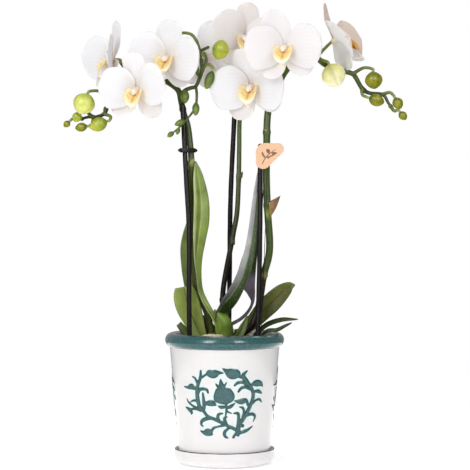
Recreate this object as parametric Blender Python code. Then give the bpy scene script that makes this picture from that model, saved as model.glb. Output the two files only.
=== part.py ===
"""A potted moth orchid: a glazed pot on its saucer, a grow pot of bark, and one plant with
three staked flower spikes.

Metres, +Z up. The origin is under the middle of the saucer, on the surface it stands on,
and the plant faces -Y. Tables of places are in millimetres and pass through MM.
"""

import math
from collections import namedtuple

import bmesh
import bpy
import numpy as np
from mathutils import Matrix, Vector

MM = 0.001
CLEARANCE = 0.4 * MM  # between a piece and the one it touches

# Pot, saucer, grow pot and bark, turned about Z
RIM_RADIUS = 55.0 * MM
RIM_TOP = 120.8 * MM
RIM_HEIGHT = 12.8 * MM
BODY_TOP_RADIUS = 50.6 * MM
BODY_FOOT_RADIUS = 42.2 * MM
POT_WALL = 4.2 * MM
POT_FLOOR = 5.0 * MM
POT_FOOT_BEVEL = 5.5 * MM
SAUCER_RADIUS = 46.4 * MM
SAUCER_HEIGHT = 14.5 * MM
SAUCER_WALL = 2.6 * MM
SAUCER_FLOOR = 3.6 * MM
GROW_POT_TOP = 115.0 * MM
GROW_POT_RADIUS = 43.6 * MM
GROW_POT_FOOT_RADIUS = 33.0 * MM
GROW_POT_WALL = 1.0 * MM
BARK_TOP = 109.5 * MM
TURN_STEPS = 36

# Plant
CROWN_RADIUS = 9.0 * MM
CROWN_FOOT = 92.0 * MM
CROWN_TOP = 135.5 * MM
CROWN_PLACE = (-1.5 * MM, -1.0 * MM)
LEAF_THICKNESS = 1.4 * MM
TEPAL_THICKNESS = 0.8 * MM
STEM_SIDES = 6
PEDICEL_RADIUS = 1.3 * MM
SEPAL_LEVEL = -1.2 * MM  # height of the sepals' hub in the flower's own frame
PETAL_LEVEL = 0.4 * MM
COLUMN_LEVEL = 1.5 * MM
PEDICEL_LEVEL = -2.2 * MM
HUB_RADIUS = 2.2  # mm, where the tepals' claws join
HUB_HALF_WIDTH = 1.4

# Stakes, each bent a little by its spike, and the clip that ties one to its spike
STAKE_RADIUS = 2.3 * MM
STAKES = {
    "stake_left": [(-27, -13, 34), (-31.5, -15, 105), (-32.5, -16, 150), (-32.5, -16, 215), (-35, -14, 262), (-38.5, -10, 330)],
    "stake_middle": [(3, 21, 34), (4.5, 21, 170), (5.5, 19, 245), (9.5, 13, 330)],
    "stake_right": [(28, -13, 34), (30.5, -12, 118), (32.5, -11, 210), (32.8, -10.2, 293)],
}
CLIP_HEIGHT = 4.0 * MM
CLIP_WALL = 1.3 * MM

# A flower's heart, the way it faces (turned to the right, then tipped up), its size, the
# directions of its tepals clockwise from straight up, and how far they lean forwards: the
# petals at claw and tip, then the dorsal and the lateral sepals. All angles are degrees.
Flower = namedtuple("Flower", "heart turn tip size dorsal petals laterals petal_lean sepal_lean lip_width")
FLOWERS = {
    "flower_1": Flower((-104.5, 22, 374.5), -65, 4, 1.06, 0, (-84, 84), (-141, 141), (26, 38), (0, 14), 0.7),
    "flower_2": Flower((-79.5, -24, 344), -23, -5, 1.03, -4, (-83, 76), (-129, 138), (28, 12), (6, 6), 1.0),
    "flower_3": Flower((-53, -2, 374.5), -18, 2, 1.05, 5, (-79, 97), (-140, 142), (26, 10), (5, 5), 1.0),
    "flower_4": Flower((-18.5, 30, 378), 168, 0, 1.00, -14, (-118, 112), (-171, 142), (16, 6), (5, 5), 1.0),
    "flower_5": Flower((18, 14, 394), 8, 2, 0.97, 9, (-64, 88), (-140, 141), (26, 10), (5, 5), 1.0),
    "flower_6": Flower((54.5, -42, 381.5), -13, 0, 1.06, -24, (-91, 88), (-145, 134), (24, 8), (5, 4), 1.0),
    "flower_7": Flower((24.5, -8, 347.5), -20, -3, 1.08, -21, (-94, 93), (-152, 124), (28, 12), (5, 5), 1.0),
    "flower_8": Flower((101.5, 0, 390.5), 76, 20, 1.05, 0, (-102, 98), (-150, 156), (30, 36), (6, 8), 0.9),
}

# Length, half width and how soon each kind of tepal widens
DORSAL = (34.0, 11.4, 0.80)
LATERAL = (31.0, 10.4, 0.80)
PETAL = (35.0, 18.5, 0.62)


def metres(point):
    return Vector(point) * MM


def clear_scene():
    for thing in list(bpy.data.objects):
        bpy.data.objects.remove(thing, do_unlink=True)


def material(name, colour, roughness, metallic=0.0):
    made = bpy.data.materials.new(name)
    made.use_nodes = True
    shader = made.node_tree.nodes["Principled BSDF"]
    shader.inputs["Base Color"].default_value = (*colour, 1.0)
    shader.inputs["Roughness"].default_value = roughness
    shader.inputs["Metallic"].default_value = metallic
    return made


def add_object(name, mesh, finish):
    thing = bpy.data.objects.new(name, mesh)
    thing.data.materials.append(finish)
    bpy.context.scene.collection.objects.link(thing)
    return thing


def mesh_of(name, points, faces):
    mesh = bpy.data.meshes.new(name)
    mesh.from_pydata([tuple(p) for p in points], [], faces)
    work = bmesh.new()
    work.from_mesh(mesh)
    bmesh.ops.recalc_face_normals(work, faces=work.faces)
    work.to_mesh(mesh)
    work.free()
    mesh.shade_smooth()
    return mesh


def solidify(thing, thickness):
    shell = thing.modifiers.new("Solidify", "SOLIDIFY")
    shell.thickness = thickness
    shell.offset = 0.0
    return thing


def unite(thing, other):
    """Joins another mesh object to this one, as a hidden helper."""
    join = thing.modifiers.new("Join", "BOOLEAN")
    join.operation = "UNION"
    join.object = other
    other.hide_render = True
    other.display_type = "WIRE"


def cut(thing, cutter):
    hole = thing.modifiers.new("Cut", "BOOLEAN")
    hole.operation = "DIFFERENCE"
    hole.object = cutter
    cutter.hide_render = True
    cutter.display_type = "WIRE"


def turned(name, profile, finish):
    """A closed profile of (radius, height) points, run down its outer side, turned about Z."""
    mesh = bpy.data.meshes.new(name)
    count = len(profile)
    edges = [(i, (i + 1) % count) for i in range(count) if profile[i][0] or profile[(i + 1) % count][0]]
    mesh.from_pydata([(r, 0.0, z) for r, z in profile], edges, [])
    thing = add_object(name, mesh, finish)
    screw = thing.modifiers.new("Screw", "SCREW")
    screw.steps = screw.render_steps = TURN_STEPS
    screw.use_merge_vertices = True
    screw.merge_threshold = 0.00005
    return thing


def arc(centre, radius, start, end, steps):
    """Points of an arc in the profile plane, angles in degrees from +radius towards +height."""
    turns = [math.radians(start + (end - start) * i / steps) for i in range(steps + 1)]
    return [(centre[0] + radius * math.cos(a), centre[1] + radius * math.sin(a)) for a in turns]


def smooth_rows(rows, per_span):
    """A Catmull-Rom curve through rows of numbers, with per_span steps between two of them."""
    p = np.array([tuple(row) for row in rows], float)
    p = np.vstack([2 * p[0] - p[1], p, 2 * p[-1] - p[-2]])
    curve = []
    for i in range(1, len(p) - 2):
        for t in np.arange(per_span) / per_span:
            a, b, c, d = p[i - 1 : i + 3]
            bend = 2 * b + (c - a) * t + (2 * a - 5 * b + 4 * c - d) * t**2 + (3 * b - a - 3 * c + d) * t**3
            curve.append(bend / 2)
    curve.append(p[-2])
    return curve


def smooth_route(points, per_span=3):
    return [Vector(row) for row in smooth_rows(points, per_span)]


def tube_mesh(name, route, radii, sides=STEM_SIDES):
    """A capped round tube along a route, its rings carried along without twist."""
    points, faces = [], []
    side = Vector((0.0, 1.0, 0.0))
    for i, (centre, radius) in enumerate(zip(route, radii)):
        ahead = (route[min(i + 1, len(route) - 1)] - route[max(i - 1, 0)]).normalized()
        side = (side - ahead * side.dot(ahead)).normalized()
        across = ahead.cross(side)
        for k in range(sides):
            turn = 2 * math.pi * k / sides
            points.append(centre + (side * math.cos(turn) + across * math.sin(turn)) * radius)
    for i in range(len(route) - 1):
        for k in range(sides):
            a, b = i * sides + k, i * sides + (k + 1) % sides
            faces.append((a, b, b + sides, a + sides))
    faces.append(tuple(range(sides)))
    faces.append(tuple(range(len(points) - sides, len(points))))
    return mesh_of(name, points, faces)


def tapered(route, first, last, power=1):
    """Radii along a route. A power over 1 keeps most of it near the first radius."""
    count = len(route) - 1
    return [first + (last - first) * (i / count) ** power for i in range(count + 1)]


def egg_mesh(name, base, tip, radius, rings=6, sides=8):
    """A bud: fattest past its middle, from a base point to a blunt tip."""
    along = (tip - base).normalized()
    side = along.orthogonal().normalized()
    across = along.cross(side)
    points = [base]
    for i in range(1, rings):
        t = i / rings
        width = radius * math.sin(math.pi * t**0.85) ** 0.75
        for k in range(sides):
            turn = 2 * math.pi * k / sides
            ring = (side * math.cos(turn) + across * math.sin(turn)) * width
            points.append(base.lerp(tip, t) + ring)
    points.append(tip)
    faces = []
    for k in range(sides):
        following = (k + 1) % sides
        faces.append((0, 1 + k, 1 + following))
        faces.append((len(points) - 1, 1 + (rings - 2) * sides + following, 1 + (rings - 2) * sides + k))
        for i in range(rings - 2):
            a, b = 1 + i * sides + k, 1 + i * sides + following
            faces.append((a, b, b + sides, a + sides))
    return mesh_of(name, points, faces)


# ---- Pot and what it holds ----


def pot(finish):
    bead = RIM_HEIGHT / 2
    foot = SAUCER_FLOOR + CLEARANCE
    bead_centre = (RIM_RADIUS - bead, RIM_TOP - bead)
    outside = arc(bead_centre, bead, 100, -65, 6)
    outside += [(BODY_TOP_RADIUS, RIM_TOP - RIM_HEIGHT - 0.4 * MM), (BODY_FOOT_RADIUS, foot + POT_FOOT_BEVEL)]
    outside += [(BODY_FOOT_RADIUS - POT_FOOT_BEVEL, foot)]
    inside = [
        (BODY_FOOT_RADIUS - POT_WALL, foot + POT_FLOOR),
        (BODY_TOP_RADIUS - POT_WALL, RIM_TOP - RIM_HEIGHT),
        (BODY_TOP_RADIUS - POT_WALL + 1.0 * MM, RIM_TOP - 1.5 * MM),
    ]
    return turned("pot", outside + [(0.0, foot), (0.0, foot + POT_FLOOR)] + inside, finish)


def saucer(finish):
    lip = SAUCER_RADIUS - SAUCER_WALL / 2
    rounding = 6.0 * MM
    profile = arc((lip, SAUCER_HEIGHT - SAUCER_WALL / 2), SAUCER_WALL / 2, 90, 0, 2)
    profile += arc((SAUCER_RADIUS - rounding, rounding), rounding, 0, -80, 3)
    profile += [(SAUCER_RADIUS - rounding - 1.0 * MM, 0.0), (0.0, 0.0), (0.0, SAUCER_FLOOR)]
    profile += [(lip - rounding, SAUCER_FLOOR), (lip - SAUCER_WALL / 2, SAUCER_FLOOR + 5.0 * MM)]
    profile += [(lip - SAUCER_WALL / 2, SAUCER_HEIGHT - SAUCER_WALL / 2)]
    return turned("saucer", profile, finish)


def grow_pot_foot():
    return SAUCER_FLOOR + POT_FLOOR + 2 * CLEARANCE


def grow_pot(finish):
    foot, wall = grow_pot_foot(), GROW_POT_WALL
    outside = [(GROW_POT_RADIUS, GROW_POT_TOP), (GROW_POT_FOOT_RADIUS, foot)]
    inside = [(GROW_POT_FOOT_RADIUS - wall, foot + wall), (GROW_POT_RADIUS - wall, GROW_POT_TOP)]
    return turned("grow_pot", outside + [(0.0, foot), (0.0, foot + wall)] + inside, finish)


def bark(finish, in_bark):
    """The bark that fills the grow pot, with a hole for the crown and for each stake."""
    foot = grow_pot_foot() + GROW_POT_WALL + CLEARANCE
    share = (BARK_TOP - grow_pot_foot()) / (GROW_POT_TOP - grow_pot_foot())
    slack = GROW_POT_WALL + 2 * CLEARANCE
    top_radius = GROW_POT_FOOT_RADIUS + share * (GROW_POT_RADIUS - GROW_POT_FOOT_RADIUS) - slack
    profile = [(top_radius, BARK_TOP), (GROW_POT_FOOT_RADIUS - slack, foot), (0.0, foot), (0.0, BARK_TOP)]
    filling = turned("bark_medium", profile, finish)
    for name, (route, radius) in in_bark.items():
        down = (route[0] - route[1]).normalized() * CLEARANCE
        route = [route[0] + down] + route[1:]
        hole = tube_mesh("hole_" + name, route, [radius + CLEARANCE] * len(route), 8)
        cut(filling, add_object("hole_" + name, hole, finish))
    return filling


def stake_route(name):
    return smooth_route([metres(p) for p in STAKES[name]], 2)


def stake(name, finish):
    route = stake_route(name)
    return add_object(name, tube_mesh(name, route, [STAKE_RADIUS] * len(route), 8), finish)


def crown(finish):
    """The short upright stem that the leaves and spikes grow from."""
    heights = (CROWN_FOOT, BARK_TOP, CROWN_TOP - 11 * MM, CROWN_TOP - 3 * MM, CROWN_TOP)
    route = [Vector((*CROWN_PLACE, z)) for z in heights]
    radii = [CROWN_RADIUS * share for share in (0.8, 0.95, 1.0, 0.85, 0.5)]
    return add_object("crown", tube_mesh("crown", route, radii, 8), finish)


# ---- Leaves ----

# name: fold of each half in degrees, then the midrib as (x, y, z, half width, turn): at turn 0
# the upper side faces the front, and a positive turn faces it to the right
LEAVES = {
    "leaf_tall_left": (28, [
        (-10.5, -12, 135.5, 3.2, 30), (-14.8, -13, 143, 3.6, 40), (-20.2, -13.5, 152, 4.2, 50),
        (-24, -14, 161.5, 4.8, 60), (-26, -14, 176, 5.8, 62), (-26.2, -14, 192, 6.8, 50), (-24.3, -14, 209, 7.8, 30),
        (-22, -14, 226, 8.6, 14), (-21.8, -13, 245, 7.8, 8), (-24.3, -12, 266, 5, 0), (-26.5, -11, 279, 0.6, 0)]),
    "leaf_back_left": (18, [
        (-9, 16, 117, 4, 0), (-14, 19, 132, 5, 0), (-22, 20, 148, 6, 0), (-29, 20, 163, 6.5, 0),
        (-33.5, 19, 180, 7, -10), (-34.5, 18, 198, 7, -10), (-34.5, 17, 212, 4.5, -10), (-34.5, 17, 224, 0.6, -10)]),
    "leaf_broad_left": (14, [
        (-20, -2, 114, 5, 10), (-24, -3, 122, 7, 5), (-29, -4, 134, 10, 0), (-33.5, -5, 146, 11.8, -5),
        (-36, -5, 156, 11.3, -5), (-37.5, -5, 163.5, 8.5, -5)]),
    "leaf_small_left": (20, [
        (-27, 8, 112.5, 3, -20), (-32, 10, 117.5, 4, -20), (-37, 11, 122, 4.4, -20), (-42.5, 12, 128.5, 3.2, -20)]),
    "leaf_dark_left": (20, [
        (-8, 11.5, 114, 4.5, 0), (-12, 12.5, 121, 5.5, 0), (-16, 13, 128, 4.5, 0), (-20, 13.5, 136, 0.7, 0)]),
    "leaf_tall_right": (26, [
        (0.8, -5, 137.5, 6.6, 8), (1.6, -5.5, 144, 8.6, 12), (4.5, -6.2, 151, 9.2, 16), (9, -7.5, 160, 9, 20), (14, -8.5, 172, 8.2, 25),
        (19, -9, 185, 7.2, 30), (22.7, -9, 199, 6.2, 30), (25.6, -8.5, 214, 5, 30), (28, -8, 231, 3.8, 30),
        (30.5, -7, 252, 2.4, 30), (33.5, -6, 272, 0.5, 30)]),
    "leaf_back_right": (35, [
        (5.5, 11, 120, 3, -40), (11, 13, 128, 3, -60), (18.5, 15, 138, 3.2, -90), (25.3, 16, 152, 5, -110),
        (28.5, 16, 167, 10, -115), (29.8, 16, 182, 10, -115), (31.5, 15, 210, 6, -110), (32.5, 14, 240, 0.6, -110)]),
    "leaf_broad_right": (14, [
        (10.5, 8, 118.5, 4, 0), (19, 9, 123, 5, 0), (28, 8.5, 132, 7.5, 0), (36, 7, 141, 9, 0), (44, 5, 149, 9.4, 0),
        (53, 2, 158, 8, 0), (60, -1, 163.5, 5, 0), (65, -3, 165, 0.7, 0)]),
    "leaf_low_right": (24, [
        (26, 12, 113.5, 3, -60), (32, 12, 120, 3.8, -60), (41, 9, 127, 4.2, -60), (53, 3, 131.5, 3.8, -60),
        (68, -4, 133.3, 0.5, -60)]),
    "leaf_low_front": (24, [
        (33, 2, 117, 1.5, -50), (40, 0, 122, 2.6, -50), (48, -2, 122.6, 2.8, -50), (56, -5, 127, 2, -50),
        (62, -7, 130.5, 0.5, -50)]),
    "leaf_front_right": (24, [
        (10, -10, 113.5, 3.4, 10), (13, -11, 119, 4.2, 10), (17, -11, 127, 3.8, 10), (21, -10, 137, 0.6, 10)]),
}
LEAF_COLUMNS = 4
FOLD_SOFTNESS = 0.02  # how round the fold is at the midrib


def leaf(name, finish):
    """A blade folded along its midrib: across it, each half rises by the fold angle."""
    fold, stations = LEAVES[name]
    lean = math.radians(fold)
    stations = smooth_rows(stations, 1 if len(stations) > 7 else 2)
    route = [metres(station[:3]) for station in stations]
    points, faces = [], []
    for i, (_, _, _, half_width, turn) in enumerate(stations):
        ahead = (route[min(i + 1, len(route) - 1)] - route[max(i - 1, 0)]).normalized()
        face = Matrix.Rotation(math.radians(turn), 3, ahead) @ (Vector((0, -1, 0)) + ahead * ahead.y).normalized()
        across = ahead.cross(face)
        for k in range(LEAF_COLUMNS + 1):
            s = 2 * k / LEAF_COLUMNS - 1
            rise = math.sqrt(s * s + FOLD_SOFTNESS) - math.sqrt(FOLD_SOFTNESS)
            bend = across * s * math.cos(lean) + face * rise * math.sin(lean)
            points.append(route[i] + bend * half_width * MM)
    row = LEAF_COLUMNS + 1
    for i in range(len(stations) - 1):
        for k in range(LEAF_COLUMNS):
            a = i * row + k
            faces.append((a, a + 1, a + 1 + row, a + row))
    return solidify(add_object(name, mesh_of(name, points, faces), finish), LEAF_THICKNESS)


# ---- Flowers ----


def flower_frame(name):
    """The matrix from a flower's own frame, +Z out of its face and +Y to its top, to the world."""
    flower = FLOWERS[name]
    facing_front = Matrix(((1, 0, 0), (0, 0, -1), (0, 1, 0))).to_4x4()
    turned_to = Matrix.Rotation(math.radians(flower.turn), 4, "Z") @ Matrix.Rotation(math.radians(-flower.tip), 4, "X")
    return Matrix.Translation(metres(flower.heart)) @ turned_to @ facing_front


def tepal_width(t, fullness):
    """Half width along a tepal as a share of the widest, from a narrow claw to a round end."""
    rise = math.sin(math.pi / 2 * min(1.0, t / 0.55)) ** fullness
    close = math.sqrt(max(0.0, 1 - max(0.0, (t - 0.55) / 0.45) ** 2.4))
    return max(0.05, rise * close)


def tepal_rows(direction, kind, leans, level, columns, rows):
    """The grid of a tepal: its midline is an arc that leans from leans[0] to leans[1] degrees,
    and its blade bows back towards its edges."""
    length, half_width, fullness = kind
    turn = math.radians(direction)
    outward = Vector((math.sin(turn), math.cos(turn), 0))
    sideways = Vector((math.cos(turn), -math.sin(turn), 0))
    out, rise = HUB_RADIUS, level / MM
    grid = []
    for i in range(rows + 1):
        t = i / rows
        width = HUB_HALF_WIDTH if i == 0 else half_width * tepal_width(t, fullness)
        line = []
        for k in range(columns + 1):
            s = 2 * k / columns - 1
            bow = -0.05 * half_width * s * s * t
            line.append((outward * out + sideways * s * width + Vector((0, 0, rise + bow))) * MM)
        grid.append(line)
        lean = math.radians(leans[0] + (leans[1] - leans[0]) * (i + 0.5) / rows)
        step = (length - HUB_RADIUS) / rows
        out += step * math.cos(lean)
        rise += step * math.sin(lean)
    return grid


def whorl(name, part, tepals, level, columns, rows, finish):
    """Tepals (direction, kind, leans) that share one hub, as a sheet given its thickness."""
    work = bmesh.new()
    hub = []
    for direction, kind, leans in sorted(tepals, key=lambda tepal: tepal[0] % 360):
        grid = [
            [work.verts.new(place * FLOWERS[name].size) for place in line]
            for line in tepal_rows(direction, kind, leans, level, columns, rows)
        ]
        for i in range(rows):
            for k in range(columns):
                work.faces.new((grid[i][k], grid[i][k + 1], grid[i + 1][k + 1], grid[i + 1][k]))
        hub += grid[0]
    work.faces.new(hub)
    bmesh.ops.recalc_face_normals(work, faces=work.faces)
    bmesh.ops.transform(work, matrix=flower_frame(name), verts=work.verts)
    mesh = bpy.data.meshes.new(f"{name}_{part}")
    work.to_mesh(mesh)
    work.free()
    mesh.shade_smooth()
    return solidify(add_object(f"{name}_{part}", mesh, finish), TEPAL_THICKNESS)


def sepals(name, finish):
    flower = FLOWERS[name]
    dorsal_lean, lateral_lean = flower.sepal_lean
    tepals = [(flower.dorsal, DORSAL, (dorsal_lean, dorsal_lean))]
    tepals += [(direction, LATERAL, (lateral_lean, lateral_lean)) for direction in flower.laterals]
    return whorl(name, "sepals", tepals, SEPAL_LEVEL, 3, 5, finish)


def petals(name, finish):
    flower = FLOWERS[name]
    tepals = [(direction, PETAL, flower.petal_lean) for direction in flower.petals]
    return whorl(name, "petals", tepals, PETAL_LEVEL, 4, 5, finish)


# Lip: its middle line as (height, forwards), the half breadth of each row and how far it curls
LIP_ROWS = (
    (-2.8, 2.4, 2.0, 50), (-5.0, 4.6, 6.5, 75), (-7.0, 7.6, 12.0, 85), (-9.5, 10.4, 9.0, 62),
    (-12.0, 12.0, 4.6, 25), (-14.4, 12.4, 3.4, 12), (-16.0, 12.0, 0.7, 5),
)
LIP_COLUMNS = 6
LIP_THICKNESS = 1.0 * MM


def lip(name, finish):
    """The lip, a trough with two raised side lobes and a tongue, with the column over it."""
    frame = flower_frame(name)
    size = FLOWERS[name].size
    points, faces = [], []
    for height, forwards, breadth, curl in LIP_ROWS:
        curl = math.radians(curl)
        for k in range(LIP_COLUMNS + 1):
            s = 2 * k / LIP_COLUMNS - 1
            radius = breadth / curl
            x = FLOWERS[name].lip_width * radius * math.sin(s * curl)
            y = height + radius * (1 - math.cos(s * curl))
            points.append(frame @ (Vector((x, y, forwards)) * MM * size))
    row = LIP_COLUMNS + 1
    for i in range(len(LIP_ROWS) - 1):
        for k in range(LIP_COLUMNS):
            a = i * row + k
            faces.append((a, a + 1, a + 1 + row, a + row))
    made = solidify(add_object(f"{name}_lip", mesh_of(f"{name}_lip", points, faces), finish), LIP_THICKNESS)
    route = [(0, -0.6, COLUMN_LEVEL / MM), (0, -0.9, 5.0), (0, -2.2, 8.0)]
    route = [frame @ (metres(p) * size) for p in route]
    heart = tube_mesh(f"{name}_column", route, [2.9 * MM, 2.6 * MM, 1.8 * MM], 8)
    unite(made, add_object(f"{name}_column", heart, finish))
    return made


# ---- Spikes, pedicels and buds ----

# name: base, tip, radius of each bud; the base is where its pedicel ends
BUDS = {
    "bud_left_1": ((-125.5, -5, 341), (-133, -9, 322.5), 9.6),
    "bud_left_2": ((-108.5, 1, 316), (-124.5, -1, 310), 6.6),
    "bud_left_3": ((-134, 2, 324), (-138.5, 1, 315.5), 4.6),
    "bud_left_4": ((-127, 3, 311.5), (-138, 2, 309.5), 4.2),
    "bud_left_5": ((-143.5, 6, 316), (-148.5, 5, 311), 3.2),
    "bud_centre": ((-11, -12, 383), (4, -15, 378.5), 9.2),
    "bud_right_1": ((95.5, -13.4, 367.5), (104.5, -16.4, 347.5), 11.2),
    "bud_right_2": ((136.5, -2, 361.5), (138, -4, 345.5), 8.2),
    "bud_right_3": ((133, -2, 337.5), (147, -3, 333), 5.8),
    "bud_right_4": ((157, 0, 337.5), (162.5, -1, 327.5), 5.0),
    "bud_right_5": ((161.5, 0, 324.5), (167.5, 0, 317.5), 3.9),
}

# name: main route, radius at the foot and at the end
SPIKES = {
    "spike_left": (
        [(-12, 5.5, 119), (-15, 5, 134), (-20, 4.5, 147), (-26, 3, 161), (-28.6, 1, 190), (-31.5, -3, 218),
         (-31.2, -6, 240), (-30.6, -7, 262), (-30.5, -7.5, 280), (-32, -7, 298), (-34, -6, 312), (-37.5, -4, 323),
         (-40, -1, 334), (-42.5, 3, 344), (-49, 7, 350), (-57, 10, 354.5), (-66, 12, 358), (-80, 14, 358),
         (-94, 14, 353), (-104, 12, 343), (-109, 7, 330), (-111.5, 5, 323), (-119, 4, 320), (-126, 5, 320), (-134, 9, 318)],
        3.0 * MM, 1.2 * MM,
    ),
    "spike_middle": (
        [(-1, 11.5, 119), (-1.5, 14, 134), (-2, 16, 150), (-1, 16, 163), (1.5, 15, 178), (4.8, 13, 195),
         (8.2, 12.5, 213), (11.5, 12.5, 232), (13, 13, 262), (13.5, 14, 290), (14, 14, 318), (17, 14, 338), (20, 17, 356), (20, 24, 372)],
        2.5 * MM, 1.5 * MM,
    ),
    "spike_right": (
        [(11.3, 1.5, 118), (18, 0, 121.5), (26, -1.5, 129), (31, -2.5, 142), (33.5, -3, 158), (36, -3.5, 174),
         (40.6, -4, 191), (41.5, -5, 206), (39.8, -6, 231), (38.5, -7, 262), (38.7, -8, 292), (39.3, -7, 318), (42.5, -4, 338),
         (49.5, -5, 350), (55.5, -7, 361), (64, -11, 369.5), (77, -13, 374.5), (84, -12, 374), (92, -7, 368),
         (104, -2, 363.5), (117, -1, 360), (121, 0, 356), (127, 1, 346), (134, 3, 342), (146, 2, 340.5), (151, 1, 333),
         (155, 1, 327)],
        3.4 * MM, 1.1 * MM,
    ),
}

# The side branch of the left spike, with its hanging raceme of undeveloped buds
SIDE_BRANCH = [
    (-41, -1, 340), (-36, -3, 344.5), (-31, -3.5, 346.5), (-26.5, -4, 348), (-23.5, -5, 354), (-20.8, -6, 362),
    (-21.5, -5, 372), (-22.5, -4, 379.5), (-15, -9, 383.5),
]
RACEME = [(-26.5, -5, 348), (-25.5, -9, 340), (-26.5, -13, 329), (-32, -17, 320), (-40, -20, 311), (-48, -22, 304)]
SMALL_BUDS = (
    ((-36.5, -3.5, 345), (-36.5, -9, 332), 4.2),
    ((-26, -11.5, 333), (-26.5, -16, 320.5), 3.4),
    ((-35.5, -18.3, 316), (-45.5, -20, 312), 3.0),
    ((-41.5, -20.4, 309.7), (-43.5, -21.5, 303), 2.1),
    ((-46.2, -21.5, 305.6), (-52, -23, 301), 2.4),
    ((-24, -5.5, 356.5), (-26.5, -7, 369.5), 2.3),
    ((-11, -8, 362), (-17, -10, 345), 4.3),
)

# Pedicels: the spike, the points from its junction on, and what the end carries
PEDICELS = (
    ("spike_left", [(-94, 14, 353), (-92, 21, 363), (-97, 22.5, 371)], "flower_1"),
    ("spike_left", [(-80, 14, 357), (-83, 4, 352), (-81, -10, 347)], "flower_2"),
    ("spike_left", [(-22.5, -4, 379), (-26.5, -1, 391), (-33, 3, 397), (-43, 6, 395)], "flower_3"),
    ("spike_left", [(-20.8, -6, 362), (-17, 8, 372), (-19, 18, 380)], "flower_4"),
    ("spike_left", [(-105, 12, 341), (-116, 4, 344)], "bud_left_1"),
    ("spike_left", [(-111.5, 5, 323), (-105.5, 3, 320.5)], "bud_left_2"),
    ("spike_left", [(-122, 4, 320), (-129, 4.5, 326)], "bud_left_3"),
    ("spike_left", [(-121, 4, 320), (-122.5, 4, 314)], "bud_left_4"),
    ("spike_left", [(-132, 8, 318.5), (-139, 8, 319)], "bud_left_5"),
    ("spike_left", [(-20.8, -6, 363), (-16, -8, 368)], "small_bud"),
    ("spike_middle", [(20, 24, 371), (18, 25, 384)], "flower_5"),
    ("spike_middle", [(19.5, 16, 352), (24, 4, 351)], "flower_7"),
    ("spike_right", [(64, -11, 369.5), (60, -26, 378)], "flower_6"),
    ("spike_right", [(84, -12, 374), (88, -7, 380)], "flower_8"),
    ("spike_right", [(86, -11, 373), (91, -12, 371)], "bud_right_1"),
    ("spike_right", [(118, -1, 359.5), (128, -1, 365)], "bud_right_2"),
    ("spike_right", [(126.5, 1, 347), (127, -1, 340.5)], "bud_right_3"),
    ("spike_right", [(145, 2, 340.5), (152, 0.5, 342.5)], "bud_right_4"),
    ("spike_right", [(153, 1, 330), (156.5, 0.5, 325.5)], "bud_right_5"),
)


def pedicel_end(carried):
    """Where a pedicel stops short of its flower or bud, and a point behind on its line."""
    if carried in FLOWERS:
        frame = flower_frame(carried)
        return frame @ Vector((0, 0, PEDICEL_LEVEL)), frame @ Vector((0, 0, PEDICEL_LEVEL - 5 * MM))
    if carried == "small_bud":
        base, tip = (metres(p) for p in SMALL_BUDS[-1][:2])
        return base.lerp(tip, 0.1), base + (base - tip).normalized() * 2.5 * MM
    base, tip = (metres(p) for p in BUDS[carried][:2])
    back = (base - tip).normalized()
    return base + back * CLEARANCE, base + back * 2.5 * MM


def spike(name, finish):
    route, first, last = SPIKES[name]
    line = smooth_route([metres(p) for p in route], 2)
    stem = add_object(name, tube_mesh(name, line, tapered(line, first, last, 3)), finish)
    branches = [
        ([metres(p) for p in points] + list(reversed(pedicel_end(carried))), PEDICEL_RADIUS, 1.0 * MM)
        for owner, points, carried in PEDICELS
        if owner == name
    ]
    if name == "spike_left":
        branches.append(([metres(p) for p in SIDE_BRANCH], 2.0 * MM, 1.4 * MM))
        branches.append(([metres(p) for p in RACEME], 1.4 * MM, 0.8 * MM))
        for i, (base, tip, radius) in enumerate(SMALL_BUDS):
            egg = egg_mesh(f"{name}_small_bud_{i}", metres(base), metres(tip), radius * MM, 4, 6)
            unite(stem, add_object(egg.name, egg, finish))
    for i, (points, start_radius, end_radius) in enumerate(branches):
        branch = smooth_route(points, 2)
        mesh = tube_mesh(f"{name}_branch_{i}", branch, tapered(branch, start_radius, end_radius))
        unite(stem, add_object(mesh.name, mesh, finish))
    return stem


def bud(name, finish):
    base, tip, radius = BUDS[name]
    return add_object(name, egg_mesh(name, metres(base), metres(tip), radius * MM), finish)


# ---- Clips and tag ----


def on_line(points, height):
    """Where a route of points crosses a height."""
    for a, b in zip(points, points[1:]):
        if min(a.z, b.z) <= height <= max(a.z, b.z):
            return a.lerp(b, (height - a.z) / (b.z - a.z))
    raise ValueError("the route doesn't reach that height")


def clip(name, stake_name, spike_name, height, finish):
    """An oval band round a stake and its spike, with a small ear at each end."""
    post = on_line(stake_route(stake_name), height)
    stem = on_line(smooth_route([metres(p) for p in SPIKES[spike_name][0]], 2), height)
    middle = (post + stem) / 2
    along = (stem - post).normalized()
    across = Vector((-along.y, along.x, 0)).normalized()
    reach = (stem - post).length / 2 + 4.0 * MM
    depth = 4.0 * MM
    steps = 16
    points = []
    for level in (-0.5, 0.5):
        for extra in (CLIP_WALL, 0.0):
            for k in range(steps):
                turn = 2 * math.pi * k / steps
                flat = along * math.cos(turn) * (reach + extra) + across * math.sin(turn) * (depth + extra)
                points.append(middle + flat + Vector((0, 0, level * CLIP_HEIGHT)))
    faces = []
    for k in range(steps):
        n = (k + 1) % steps
        for a, b in ((0, 2), (2, 3), (3, 1), (1, 0)):
            faces.append((a * steps + k, a * steps + n, b * steps + n, b * steps + k))
    band = add_object(name, mesh_of(name, points, faces), finish)
    for i, way in enumerate((-1, 1)):
        ends = [middle + along * way * (reach + shift) for shift in (CLIP_WALL / 2, 2.6 * MM)]
        ear = tube_mesh(f"{name}_ear_{i}", ends, [1.6 * MM, 1.3 * MM], 6)
        unite(band, add_object(ear.name, ear, finish))
    return band


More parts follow.
